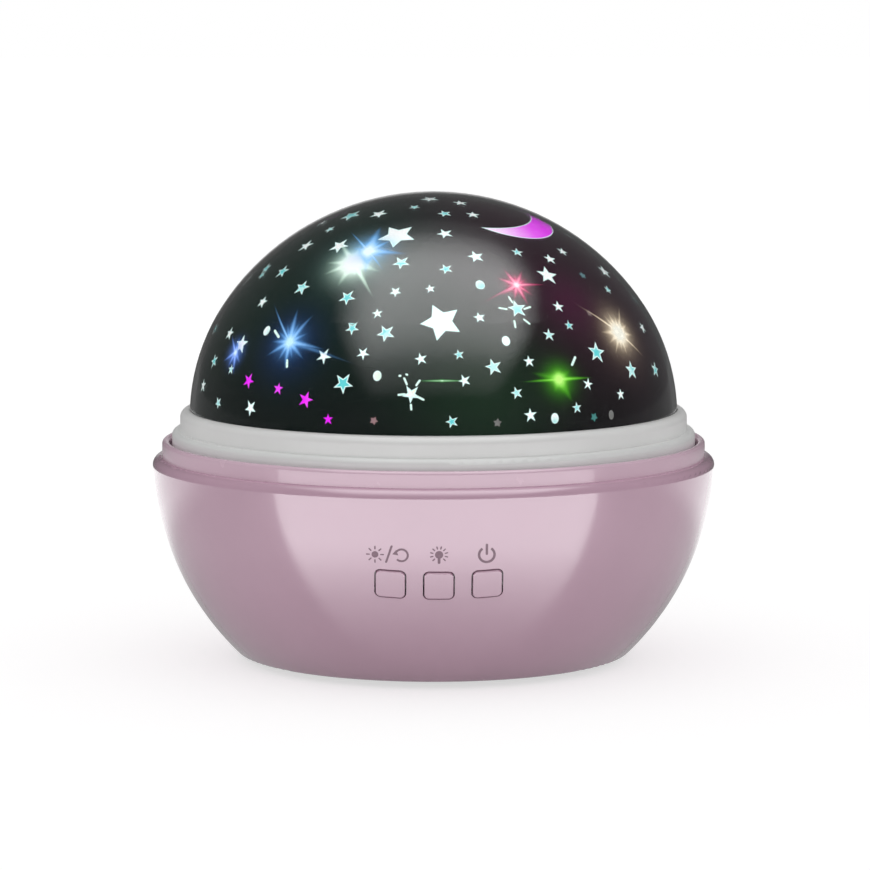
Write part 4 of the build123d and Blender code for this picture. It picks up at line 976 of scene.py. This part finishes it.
@dataclass(frozen=True)
class Dash:
    """Narrow lit slit in the mask, from one offset to another in the dome's surface."""

    azimuth: float
    elevation: float
    start_mm: Span
    end_mm: Span
    breadth_mm: float = 0.48

    def draw(self, form: Form, dome: DomeForm, inset: float) -> None:
        """Adds the slit to a mesh.

        Args:
            form: the mesh.
            dome: the dome's form.
            inset: how far the slit lies under the dome's outside, in millimetres.
        """
        place = dome.frame_at(self.azimuth, self.elevation, inset)
        start, end = Vector(self.start_mm), Vector(self.end_mm)
        grid = bmesh.ops.create_grid(form, x_segments=4, y_segments=1, size=MM)
        stroke = stroke_place(start, end, self.breadth_mm)
        bmesh.ops.transform(form, matrix=place @ stroke, verts=grid["verts"])
        for side in (start, end):
            tip = bmesh.ops.create_circle(form, cap_ends=True, segments=12, radius=self.breadth_mm / 2 * MM)
            shift = Matrix.Translation((side * MM).to_3d())
            bmesh.ops.transform(form, matrix=place @ shift, verts=tip["verts"])


@dataclass(frozen=True)
class FaintMark:
    """Small mark that shines weakly through the mask: a star, or an oval if it has no points."""

    azimuth: float
    elevation: float
    span_mm: float
    turn: float
    colour: Colour
    points: int = 5

    NOTCH: ClassVar[float] = 0.52
    OVAL: ClassVar[float] = 1.3
    OVAL_SEGMENTS: ClassVar[int] = 20

    def build(self, name: str, dome: DomeForm, inset: float, body: str) -> None:
        """Builds the mark.

        Args:
            name: the piece's name.
            dome: the dome's form.
            inset: how far the mark lies under the dome's outside, in millimetres.
            body: the CAD body that it rides on.
        """
        form = bmesh.new()
        segments = 2 * self.points or self.OVAL_SEGMENTS
        drawn = bmesh.ops.create_circle(form, cap_ends=True, segments=segments, radius=self.span_mm / 2 * MM)
        stretch = Matrix.Identity(4)
        if self.points:
            for vertex in drawn["verts"][::2]:
                vertex.co *= self.NOTCH
        else:
            stretch = Matrix.Diagonal((1, self.OVAL, 1, 1))
        turn = Matrix.Rotation(math.radians(self.turn), 4, "Z")
        place = dome.frame_at(self.azimuth, self.elevation, inset)
        bmesh.ops.transform(form, matrix=place @ stretch @ turn, verts=form.verts)
        dome.drape(form, inset)
        finished(name, form, body, LitFilm(f"{name}_light", self.colour, strength=1.0).build())


# Lamps' glares; a ray's row holds its direction, length, breadth and strength.
FLARES = (
    Flare("white_glare", -29.6, 45.6, (216, 255, 230), 3.3, 4.8, 0.42, (
        (135, 11, 0.7, 0.9), (-48, 13, 0.6, 1.0), (60, 8, 1.2, 0.8), (-150, 7.5, 1.0, 0.85),
        (-100, 7.5, 1.1, 0.8), (180, 7.5, 0.9, 0.8), (100, 7, 0.9, 0.6), (-15, 8, 1.0, 0.8))),
    Flare("blue_upper_glare", -26.4, 49.9, (104, 184, 255), 1.7, 4.0, 0.6, (
        (95, 9.5, 1.3, 0.95), (2, 9.5, 0.9, 0.9), (-75, 7.5, 1.2, 0.85), (136, 11, 0.3, 0.9),
        (-44, 9, 0.25, 0.8), (48, 6.5, 0.7, 0.75), (-20, 5.5, 0.6, 0.6), (165, 5, 0.7, 0.5),
        (70, 5.5, 0.5, 0.7), (118, 5.0, 0.6, 0.6)), (232, 255, 255)),
    Flare("blue_glare", -39.9, 22.4, (110, 178, 255), 1.15, 3.1, 0.5, (
        (99, 8.5, 0.75, 0.95), (62, 8, 0.65, 0.9), (80, 5, 0.8, 0.8), (-5, 10, 0.6, 0.95),
        (-10, 18, 0.5, 0.4), (30, 5, 0.6, 0.7), (-36, 6.5, 0.6, 0.8), (-62, 4.5, 0.6, 0.7),
        (-84, 7, 0.6, 0.95), (-112, 5, 0.6, 0.8), (-148, 7, 0.6, 0.9), (-178, 5.5, 0.6, 0.8),
        (152, 5, 0.5, 0.6), (120, 5, 0.6, 0.7), (136, 13.5, 0.28, 0.95)), (206, 248, 255)),
    Flare("small_blue_glare", -58.8, 18.4, (112, 156, 255), 0.6, 2.4, 0.5, (
        (140, 6, 0.4, 0.8), (-70, 5.5, 0.5, 0.9), (-150, 5, 0.5, 0.8), (-110, 4, 0.5, 0.8),
        (-35, 4, 0.5, 0.7), (100, 4, 0.5, 0.7)), (214, 240, 255)),
    Flare("pink_glare", 25.0, 38.6, (238, 40, 124), 0.6, 2.2, 0.55, (
        (0, 7.5, 0.4, 1.0), (108, 5.4, 0.5, 1.0), (55, 5.2, 0.5, 1.0), (-80, 6.2, 0.5, 1.0),
        (-152, 6, 0.5, 1.0), (-157, 11, 0.25, 0.8), (-115, 4.8, 0.5, 0.9), (150, 5.2, 0.5, 0.9),
        (-45, 4.6, 0.4, 0.8), (28, 3.6, 0.4, 0.7), (80, 3.6, 0.4, 0.7)), (255, 226, 240)),
    Flare("warm_glare", 54.3, 23.5, (250, 228, 194), 2.4, 4.0, 0.5, (
        (138, 13, 0.28, 0.95), (48, 8.5, 0.4, 0.85), (-42, 9.5, 0.3, 0.9), (-132, 6.5, 0.5, 0.8),
        (95, 5.5, 0.7, 0.8), (-90, 5.5, 0.7, 0.8), (-10, 6, 0.6, 0.8), (172, 6.5, 0.7, 0.8),
        (20, 5.5, 0.6, 0.8), (70, 5, 0.6, 0.7), (-110, 5, 0.6, 0.7), (-158, 5.5, 0.6, 0.8),
        (118, 5.5, 0.6, 0.8)), (255, 252, 238)),
    Flare("green_glare", 29.8, 13.9, (96, 210, 40), 1.35, 2.8, 0.45, (
        (0, 9.5, 0.4, 0.95), (180, 9.5, 0.35, 0.85), (164, 7, 0.9, 0.45), (-62, 6, 1.1, 0.5),
        (30, 4.0, 0.9, 0.4), (-120, 3.5, 1.0, 0.4)), (196, 255, 130)),
    Flare("green_thread", 0.9, 14.4, (96, 196, 104), 0.1, 0.3, 0.5, (
        (0, 6, 0.2, 0.9), (180, 6, 0.2, 0.9))),
)
# Soft patches of painted glow on the films: colour, azimuth, elevation and radius in millimetres.
MASK_GLOW_SPOTS = (
    ((20, 42, 26), 11, 13, 16), ((34, 74, 26), 30, 13.5, 4), ((18, 40, 80), -39.8, 22, 7),
    ((86, 70, 66), 54.3, 23.5, 7.5), ((62, 90, 88), -29, 47, 8), ((62, 22, 46), 41, 33, 8))
CRESCENT_SPOTS = (((254, 238, 254), 24, 57, 8.6),)
LINER_SPOTS = (
    ((104, 218, 226), -21, 50.6, 3.4), ((124, 222, 230), 22.6, 30.6, 3.2), ((120, 224, 208), -5, 9.3, 1.3),
    ((236, 232, 180), -5, 12.6, 1.0), ((128, 226, 224), -47, 24, 1.7), ((128, 226, 224), 14, 38, 2.0),
    ((140, 224, 220), 27.6, 4.2, 1.0), ((222, 246, 226), -13, 15, 2.0))
DASHES = (
    Dash(-6.3, 11.4, (-0.95, 2.1), (-1.55, 3.4)), Dash(-6.3, 11.4, (1.15, 1.9), (1.85, 2.95)),
    Dash(-6.3, 11.4, (1.55, -0.65), (2.75, -1.25)), Dash(-6.3, 11.4, (-1.4, -0.1), (-2.7, -0.25)),
    Dash(-6.3, 11.4, (0.05, -2.4), (0.15, -3.4)),
    Dash(21.8, 30.9, (-0.15, 2.6), (-0.5, 4.0)), Dash(21.8, 30.9, (2.3, 0.75), (3.9, 1.25)),
    Dash(21.8, 30.9, (1.55, -1.9), (2.6, -3.0)), Dash(21.8, 30.9, (-0.85, -2.2), (-0.95, -3.7)),
    Dash(21.8, 30.9, (-1.9, 0.85), (-3.5, 1.3)),
    Dash(-45.2, 24.1, (-0.95, 0.68), (0.95, -0.68), 0.6), Dash(-38.9, 17.2, (-0.18, 0.7), (0.18, -0.7), 0.6),
    Dash(35.0, 17.8, (-0.7, -0.7), (0.6, 0.9), 0.6), Dash(-9.0, 15.5, (-0.1, 0.0), (0.1, 0.0), 0.5),
    Dash(-7.4, 15.8, (-0.1, 0.05), (0.1, -0.05), 0.45),
)
FAINT_MARKS = (
    FaintMark(-14.7, 5.2, 2.0, 10, (150, 112, 116)), FaintMark(13.5, 4.7, 2.1, 30, (110, 108, 106)),
    FaintMark(38.6, 4.7, 2.2, 5, (64, 132, 128)), FaintMark(53.7, 40.0, 2.2, 20, (96, 134, 140)),
    FaintMark(46.0, 29.3, 1.9, 15, (120, 104, 104)), FaintMark(44.1, 4.8, 1.6, 0, (112, 112, 110), 0),
)


@dataclass
class Dome:
    """Clear dome over the star mask, its coloured windows and the lit liner."""

    form: DomeForm = DomeForm()
    glare_inset_mm: float = 1.018
    glare_gap_mm: float = 0.008
    slit_inset_mm: float = 1.024
    body: str = "dome"
    pale_cyan: Colour = (222, 252, 250)
    rim_light: Colour = (226, 255, 252)
    slit_light: Colour = (226, 255, 246)

    def build(self) -> None:
        """Dresses the dome's nodes and adds its panes, glares, slits and faint marks."""
        dress(MouldedPlastic("collar_white", (236, 236, 235)), "dome_collar", "film_ring")
        dress(ClearPlastic("clear_dome"), "dome_cover")
        self.windows()
        for index, flare in enumerate(FLARES):
            flare.build(self.form, self.glare_inset_mm - index % 2 * self.glare_gap_mm, self.body)
        self.slits()
        for index, mark in enumerate(FAINT_MARKS):
            mark.build(f"faint_mark_{index + 1}", self.form, self.slit_inset_mm, self.body)

    def windows(self) -> None:
        """Dresses the films and builds the panes in the mask's openings."""
        mask_glow_spots, crescent_spots, liner_spots = (
            self.form.glow_spots(*rows) for rows in (MASK_GLOW_SPOTS, CRESCENT_SPOTS, LINER_SPOTS))
        cyan = LitFilm("cyan_film", (98, 214, 218), pale=self.pale_cyan, pale_share=0.75)
        magenta = LitFilm("magenta_film", (232, 24, 244), crescent_spots, strength=1.2)
        leak = LitFilm("leaked_light", (22, 34, 32), pale=(52, 68, 64), pale_share=0.5)
        WindowPanes(self.form).build({
            Pane.PRINT: dress(PrintedFilm("mask_film", mask_glow_spots), "star_mask"),
            Pane.CYAN: dress(cyan, "cyan_windows"),
            Pane.MAGENTA: dress(magenta, "magenta_windows"),
            Pane.WHITE: dress(LitFilm("liner_white", (255, 255, 255), liner_spots), "diffuser_liner"),
            Pane.RIM: LitFilm("pane_rim", self.rim_light).build(),
            Pane.LEAK: leak.build(),
        }, self.body)

    def slits(self) -> None:
        """Adds the lit slits about the rayed stars."""
        form = bmesh.new()
        for dash in DASHES:
            dash.draw(form, self.form, self.slit_inset_mm)
        self.form.drape(form, self.slit_inset_mm)
        finished("mask_slits", form, self.body, LitFilm("slit_light", self.slit_light).build())


# Base
@dataclass(frozen=True)
class BowlForm:
    """The bowl's side as the solids have it, in millimetres."""

    radius: float = 65.3
    bottom_radius: float = 45.5
    bottom_z: float = 1.5
    arc_z: float = 48.3

    @property
    def arc(self) -> float:
        """Radius of the side's arc."""
        spread = self.radius - self.bottom_radius
        return (spread ** 2 + (self.arc_z - self.bottom_z) ** 2) / (2 * spread)

    def wrap(self, form: Form, row_z: float, proud: float) -> None:
        """Wraps a flat drawing onto the bowl's front.

        Args:
            form: a mesh in the XY plane in metres, x to the right and y up the side.
            row_z: level of the drawing's origin.
            proud: how far the drawing stands off the bowl.
        """
        first = math.asin((row_z - self.arc_z) / self.arc)
        for point in form.verts:
            lean = first + point.co.y / MM / self.arc
            reach = self.radius - self.arc + (self.arc + proud) * math.cos(lean)
            turn = point.co.x / MM / reach
            level = self.arc_z + (self.arc + proud) * math.sin(lean)
            point.co = Vector((reach * math.sin(turn), -reach * math.cos(turn), level)) * MM


@dataclass
class Symbols:
    """Printed symbols over the buttons: lamp or turning, brightness, power; in millimetres."""

    form: BowlForm = BowlForm()
    row_z: float = 32.75
    proud: float = 0.02
    ink: Colour = (118, 90, 104)
    stroke: float = 0.46
    sun: Span = (-14.06, 0.05)
    sun_radius: float = 0.76
    sun_rays: Span = (1.3, 1.85)
    sun_ray_breadth: float = 0.3
    slash: tuple[Span, Span] = ((-11.58, -1.68), (-10.38, 2.0))
    arrow: Span = (-8.2, -0.05)
    arrow_radius: float = 1.38
    arrow_angles: Span = (-136, 152)
    arrow_head: Span = (-9.5, 0.42)
    head_radius: float = 0.78
    head_angle: float = -10
    bulb: Span = (0.0, 0.12)
    bulb_radius: float = 0.9
    bulb_rays: Span = (1.4, 1.9)
    bulb_ray_breadth: float = 0.28
    foot: tuple[Span, Span] = ((0.0, -0.6), (0.0, -1.7))
    foot_breadth: float = 0.62
    switch: Span = (10.46, 0.0)
    switch_radius: float = 1.72
    switch_angles: Span = (124, 416)
    switch_breadth: float = 0.56
    switch_bar: tuple[Span, Span] = ((10.46, 0.2), (10.46, 2.3))
    switch_bar_breadth: float = 0.54

    @staticmethod
    def disc(ink: Form, centre: Span, radius: float) -> None:
        """Draws a filled disc."""
        drawn = bmesh.ops.create_circle(ink, cap_ends=True, segments=24, radius=radius * MM)
        bmesh.ops.translate(ink, vec=(centre[0] * MM, centre[1] * MM, 0), verts=drawn["verts"])

    def bar(self, ink: Form, start: Span, end: Span, breadth: float) -> None:
        """Draws a straight stroke with round ends.

        Args:
            ink: the drawing.
            start: where it starts.
            end: where it ends.
            breadth: its breadth.
        """
        drawn = bmesh.ops.create_grid(ink, x_segments=6, y_segments=1, size=MM)
        place = stroke_place(Vector(start), Vector(end), breadth)
        bmesh.ops.transform(ink, matrix=place, verts=drawn["verts"])
        for tip in (start, end):
            self.disc(ink, tip, breadth / 2)

    @staticmethod
    def arc(ink: Form, centre: Span, radius: float, breadth: float, angles: Span) -> None:
        """Draws a round stroke.

        Args:
            ink: the drawing.
            centre: its centre.
            radius: its radius.
            breadth: its breadth.
            angles: where it starts and ends, in degrees.
        """
        turn = math.radians(angles[0])
        way = Vector((math.cos(turn), math.sin(turn), 0))
        middle = Vector((*centre, 0)) * MM
        ends = [ink.verts.new(middle + way * (radius + side * breadth / 2) * MM) for side in (-1, 1)]
        edge = ink.edges.new(ends)
        bmesh.ops.spin(ink, geom=[*ends, edge], cent=middle, axis=(0, 0, 1), steps=28,
                       angle=math.radians(angles[1] - angles[0]), use_merge=False)

    def spokes(self, ink: Form, centre: Span, reach: Span, breadth: float,
               angles: Sequence[float]) -> None:
        """Draws short strokes around a point.

        Args:
            ink: the drawing.
            centre: the point.
            reach: distances at which a stroke starts and ends.
            breadth: its breadth.
            angles: the strokes' directions in degrees.
        """
        for angle in angles:
            way = Vector((math.cos(math.radians(angle)), math.sin(math.radians(angle))))
            start, end = (tuple(Vector(centre) + way * length) for length in reach)
            self.bar(ink, start, end, breadth)

    def turning(self, ink: Form) -> None:
        """Draws the sun, slash and circular arrow.

        Args:
            ink: the drawing.
        """
        self.disc(ink, self.sun, self.sun_radius)
        self.spokes(ink, self.sun, self.sun_rays, self.sun_ray_breadth, range(0, 360, 45))
        self.bar(ink, *self.slash, self.stroke)
        self.arc(ink, self.arrow, self.arrow_radius, self.stroke, self.arrow_angles)
        head = bmesh.ops.create_circle(ink, cap_ends=True, segments=3, radius=self.head_radius * MM)
        place = Matrix.Translation((self.arrow_head[0] * MM, self.arrow_head[1] * MM, 0))
        turn = Matrix.Rotation(math.radians(self.head_angle), 4, "Z")
        bmesh.ops.transform(ink, matrix=place @ turn, verts=head["verts"])

    def brightness(self, ink: Form) -> None:
        """Draws the bulb with its rays.

        Args:
            ink: the drawing.
        """
        self.disc(ink, self.bulb, self.bulb_radius)
        self.bar(ink, *self.foot, self.foot_breadth)
        self.spokes(ink, self.bulb, self.bulb_rays, self.bulb_ray_breadth, range(-45, 226, 30))

    def power(self, ink: Form) -> None:
        """Draws the broken ring with its bar."""
        self.arc(ink, self.switch, self.switch_radius, self.switch_breadth, self.switch_angles)
        self.bar(ink, *self.switch_bar, self.switch_bar_breadth)

    def build(self, body: str) -> None:
        """Prints the symbols on the bowl.

        Args:
            body: the CAD body that they ride on.
        """
        ink = bmesh.new()
        for draw in (self.turning, self.brightness, self.power):
            draw(ink)
        self.form.wrap(ink, self.row_z, self.proud)
        bmesh.ops.recalc_face_normals(ink, faces=ink.faces)
        finished("printed_symbols", ink, body, PrintedInk("symbol_ink", self.ink).build())


@dataclass
class Base:
    """Bowl, deck, bottom and everything they carry."""

    pink: Colour = (206, 168, 188)
    lip_pink: Colour = (227, 194, 211)
    post_white: Colour = (226, 226, 224)
    black: Colour = (30, 30, 32)
    rubber: Colour = (38, 38, 38)
    lamp_light: Colour = (206, 222, 250)
    body: str = "base"

    def build(self) -> None:
        """Dresses the base's nodes and prints the symbols."""
        dress(MouldedPlastic("bowl_pink", self.pink, roughness=0.22, coat=1.0), "base_bowl", "bottom_cover",
              "battery_door", "rotation_button", "lamp_button", "power_button")
        dress(MouldedPlastic("lip_pink", self.lip_pink, roughness=0.26, coat=0.6), "deck_frame")
        dress(MouldedPlastic("post_white", self.post_white, roughness=0.4), "light_post", "motor_bracket")
        dress(MouldedPlastic("part_black", self.black, roughness=0.45), "motor_end_cap", "board_components",
              "rotation_plunger", "lamp_plunger", "power_plunger")
        self.metals()
        dress(Laminate("board_green"), "main_board", "button_board", "socket_board", "led_board")
        rubber = MouldedPlastic("foot_rubber", self.rubber, roughness=0.8, shade_shares=(1.0, 1.6),
                                flow_mm=3.0, marks_mm=3.0, marks_detail=3.0, marks_share=0.2,
                                skin_mm=0.35, skin_detail=3.0, skin_depth_mm=0.03)
        dress(rubber, "rubber_feet")
        dress(CellJacket("cell_jacket"), "battery_cells")
        dress(LitFilm("lamp_lens", self.lamp_light, pale_share=0.6, cloud_mm=2.0, strength=0.9), "led_lamps")
        Symbols().build(self.body)

    @staticmethod
    def metals() -> None:
        """Dresses the screws, the drive and the contacts."""
        screws = [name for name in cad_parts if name.endswith("screws")]
        dress(Metal("plated_screw", (176, 178, 182)), *screws)
        dress(Metal("plated_can", (186, 186, 188), roughness=0.3), "motor_can", "button_switches",
              "motor_shaft")
        dress(Metal("nickel_sheet", (196, 190, 178), roughness=0.22), "power_socket", "battery_contacts")
        dress(Metal("gearbox_brass", (206, 172, 98), roughness=0.3), "gearbox")


@dataclass
class Turntable:
    """Pale ring between base and dome, and the pinion that turns it."""

    ring_white: Colour = (230, 231, 230)
    pinion_white: Colour = (232, 230, 222)

    def build(self) -> None:
        """Dresses the drive's nodes."""
        dress(MouldedPlastic("ring_white", self.ring_white, roughness=0.32), "turntable")
        dress(MouldedPlastic("pinion_acetal", self.pinion_white, roughness=0.35), "drive_pinion")


# Studio
@dataclass(frozen=True)
class LightTable:
    """Floor as shining surfaces see it, with a bright wedge before the lamp and a painted shadow about it;
    spans in millimetres.
    """

    wedge_glow: float = 3.2
    wedge_start: float = 43.0
    wedge_slope: float = 0.374
    wedge_edge: Span = (-4.0, 5.0)
    wedge_end: Span = (600.0, 420.0)
    shade: Span = (46.0, 125.0)
    shade_share: float = 0.6
    glow: float = 1.15
    middle: Span = (-240.0, -130.0)
    middle_loss: float = 0.6
    front: Span = (-100.0, 30.0)
    front_gain: float = 0.25
    end: Span = (440.0, 330.0)
    end_share: float = 0.1

    def level(self, x: Signal, y: Signal) -> Signal:
        """Finds the glow at a place on the floor.

        Args:
            x: millimetres to the right.
            y: millimetres to the back.

        Returns:
            The glow.
        """
        distance = (x * x + y * y) ** 0.5
        ahead = -y - abs(x) * self.wedge_slope - self.wedge_start
        # Painted shadow: near the lamp the table's glow is dimmed and the wedge fades out, standing for the
        # lamp's own shadow.
        clear = distance.step(*self.shade)
        wedge = ahead.step(*self.wedge_edge) * distance.step(*self.wedge_end) * clear
        around = ahead.step(*self.front) * self.front_gain - ahead.step(*self.middle) * self.middle_loss
        shaded = (around + self.glow) * (clear * (1 - self.shade_share) + self.shade_share)
        ending = distance.step(*self.end) * (1 - self.end_share) + self.end_share
        return shaded * ending + wedge * self.wedge_glow


@dataclass(frozen=True)
class Softbox:
    """Overhead softbox as shining surfaces see it, laid out on a plane one unit above them."""

    glow: float = 3.0
    lowest_rise: float = 0.02
    horizon: Span = (0.03, 0.2)
    left: float = 0.49
    left_spread: float = 0.42
    left_blur: float = 0.27
    right: float = 0.64
    right_spread: float = 0.3
    right_blur: float = 0.2
    narrowing: Span = (-0.1, 0.6)
    narrowed: float = 0.2
    front: Span = (-1.4, -0.1)
    front_tail: Span = (-3.2, -0.6)
    front_share: float = 0.75
    back: Span = (0.62, -0.02)
    back_tail: Span = (0.95, 0.4)
    back_share: float = 0.9
    far_wall: Span = (0.98, 1.0)
    far_wall_glow: float = 0.45
    room_glow: float = 0.08

    def level(self, x: Signal, y: Signal, z: Signal) -> Signal:
        """Finds the glow in a direction.

        Args:
            x: the direction's part to the right.
            y: its part to the back.
            z: its part upwards.

        Returns:
            The glow.
        """
        rise = z.at_least(self.lowest_rise)
        across = x / rise
        depth = y / rise
        toward = (-depth).at_least(0.0)
        left = toward * self.left_spread + across + self.left
        right = toward * self.right_spread + self.right - depth.step(*self.narrowing) * self.narrowed - across
        sides = left.step(-self.left_blur, self.left_blur) * right.step(-self.right_blur, self.right_blur)
        front = depth.step(*self.front) * self.front_share
        front = depth.step(*self.front_tail) * (1 - self.front_share) + front
        back = depth.step(*self.back) * self.back_share
        back = depth.step(*self.back_tail) * (1 - self.back_share) + back
        box = sides * front * back * z.step(*self.horizon)
        return box * self.glow + y.step(*self.far_wall) * self.far_wall_glow + self.room_glow


@dataclass
class Studio:
    """Pale floor, soft light and the camera, in metres and radians."""

    table: LightTable = LightTable()
    softbox: Softbox = Softbox()
    floor_half: float = 6.0
    floor_grey: float = 0.84
    lifted_grey: float = 0.5
    lift: float = 0.63
    soft_glow: float = 0.58
    soft_gain: float = 0.26
    soft_rise: Span = (-0.1, 0.9)
    distance: float = 0.926
    height: float = 0.1605
    azimuth: float = -1.1
    pitch: float = 0.117
    lens: float = 165.83
    sensor: float = 36.0
    shift_px: float = 1.5
    picture_px: float = 870.0

    def build(self) -> None:
        """Builds floor, world and camera."""
        self.floor()
        self.world()
        self.camera()

    @staticmethod
    def ray_kinds(shader: Shader) -> tuple[Signal, Signal]:
        """Sorts the rays that reach the surround.

        Args:
            shader: the surround's tree.

        Returns:
            Shares of the rays that see it straight or through clear plastic, and of those that a
            shine sent there.
        """
        path = shader.add("ShaderNodeLightPath")
        shone = Signal(shader, path.outputs["Glossy Depth"]).clamped()
        scattered = Signal(shader, path.outputs["Diffuse Depth"]).clamped()
        through = Signal(shader, path.outputs["Is Transmission Ray"]) * (1 - shone) * (1 - scattered)
        direct = (Signal(shader, path.outputs["Is Camera Ray"]) + through).clamped()
        return direct, shone * (1 - scattered)

    def floor_material(self) -> Material:
        """Makes the floor white to the camera, a light table to what shines, and clear from below.

        Returns:
            The material.
        """
        shader = Shader.material("floor_white")
        x, y, _ = (axis / MM for axis in shader.axes(shader.place))
        direct, mirrored = self.ray_kinds(shader)
        plain = shader.add("ShaderNodeBsdfDiffuse", {}, {"Color": (*[self.floor_grey] * 3, 1)})
        dull = shader.add("ShaderNodeBsdfDiffuse", {}, {"Color": (*[self.lifted_grey] * 3, 1)})
        white = shader.add("ShaderNodeEmission", {}, {"Color": (1, 1, 1, 1), "Strength": self.lift})
        lifted = shader.add("ShaderNodeAddShader", {}, {0: dull.outputs[0], 1: white.outputs[0]})
        glow = shader.add("ShaderNodeEmission", {}, {"Color": shader.grey(self.table.level(x, y))})
        clear = shader.add("ShaderNodeBsdfTransparent")
        under = shader.result("ShaderNodeNewGeometry", output="Backfacing")
        skin = plain
        for share, other in ((mirrored, glow), (direct, lifted), (under, clear)):
            skin = shader.add("ShaderNodeMixShader", {}, {0: share, 1: skin.outputs[0], 2: other.outputs[0]})
        shader.add("ShaderNodeOutputMaterial", {}, {"Surface": skin.outputs[0]})
        shader.owner.cycles.emission_sampling = "NONE"
        return shader.owner

    def floor(self) -> None:
        """Lays the floor."""
        form = bmesh.new()
        bmesh.ops.create_grid(form, x_segments=1, y_segments=1, size=self.floor_half)
        mesh = bpy.data.meshes.new("floor")
        form.to_mesh(mesh)
        form.free()
        mesh.materials.append(self.floor_material())
        floor = bpy.data.objects.new("floor", mesh)
        bpy.context.scene.collection.objects.link(floor)

    def world(self) -> None:
        """Sets the surround: white to the camera, soft light, and the softbox to what shines."""
        world = bpy.data.worlds.new("studio")
        bpy.context.scene.world = world
        shader = Shader(world)
        x, y, z = shader.axes(shader.result("ShaderNodeTexCoord", output="Generated"))
        direct, mirrored = self.ray_kinds(shader)
        soft = z.step(*self.soft_rise) * self.soft_gain + self.soft_glow
        level = shader.between(mirrored, soft, self.softbox.level(x, y, z))
        level = shader.between(direct, level, 1.0)
        sky = shader.add("ShaderNodeBackground", {}, {"Color": shader.grey(level)})
        shader.add("ShaderNodeOutputWorld", {}, {"Surface": sky.outputs[0]})

    def camera(self) -> None:
        """Stands the camera in front of the lamp."""
        data = bpy.data.cameras.new("camera")
        data.lens = self.lens
        data.sensor_width = self.sensor
        data.shift_x = self.shift_px / self.picture_px
        camera = bpy.data.objects.new("camera", data)
        turn = math.radians(self.azimuth)
        camera.location = (self.distance * math.sin(turn), -self.distance * math.cos(turn), self.height)
        camera.rotation_euler = (math.pi / 2 - self.pitch, 0, turn)
        scene = bpy.context.scene
        scene.collection.objects.link(camera)
        scene.camera = camera
        scene.view_settings.view_transform = "Standard"


def main() -> None:
    """Builds the lamp and its studio."""
    logging.basicConfig(level=logging.INFO, format="%(message)s")
    Studio().build()
    for part in (Base(), Turntable(), Dome()):
        LOG.info("building %s", type(part).__name__)
        part.build()


if __name__ == "__main__":
    main()
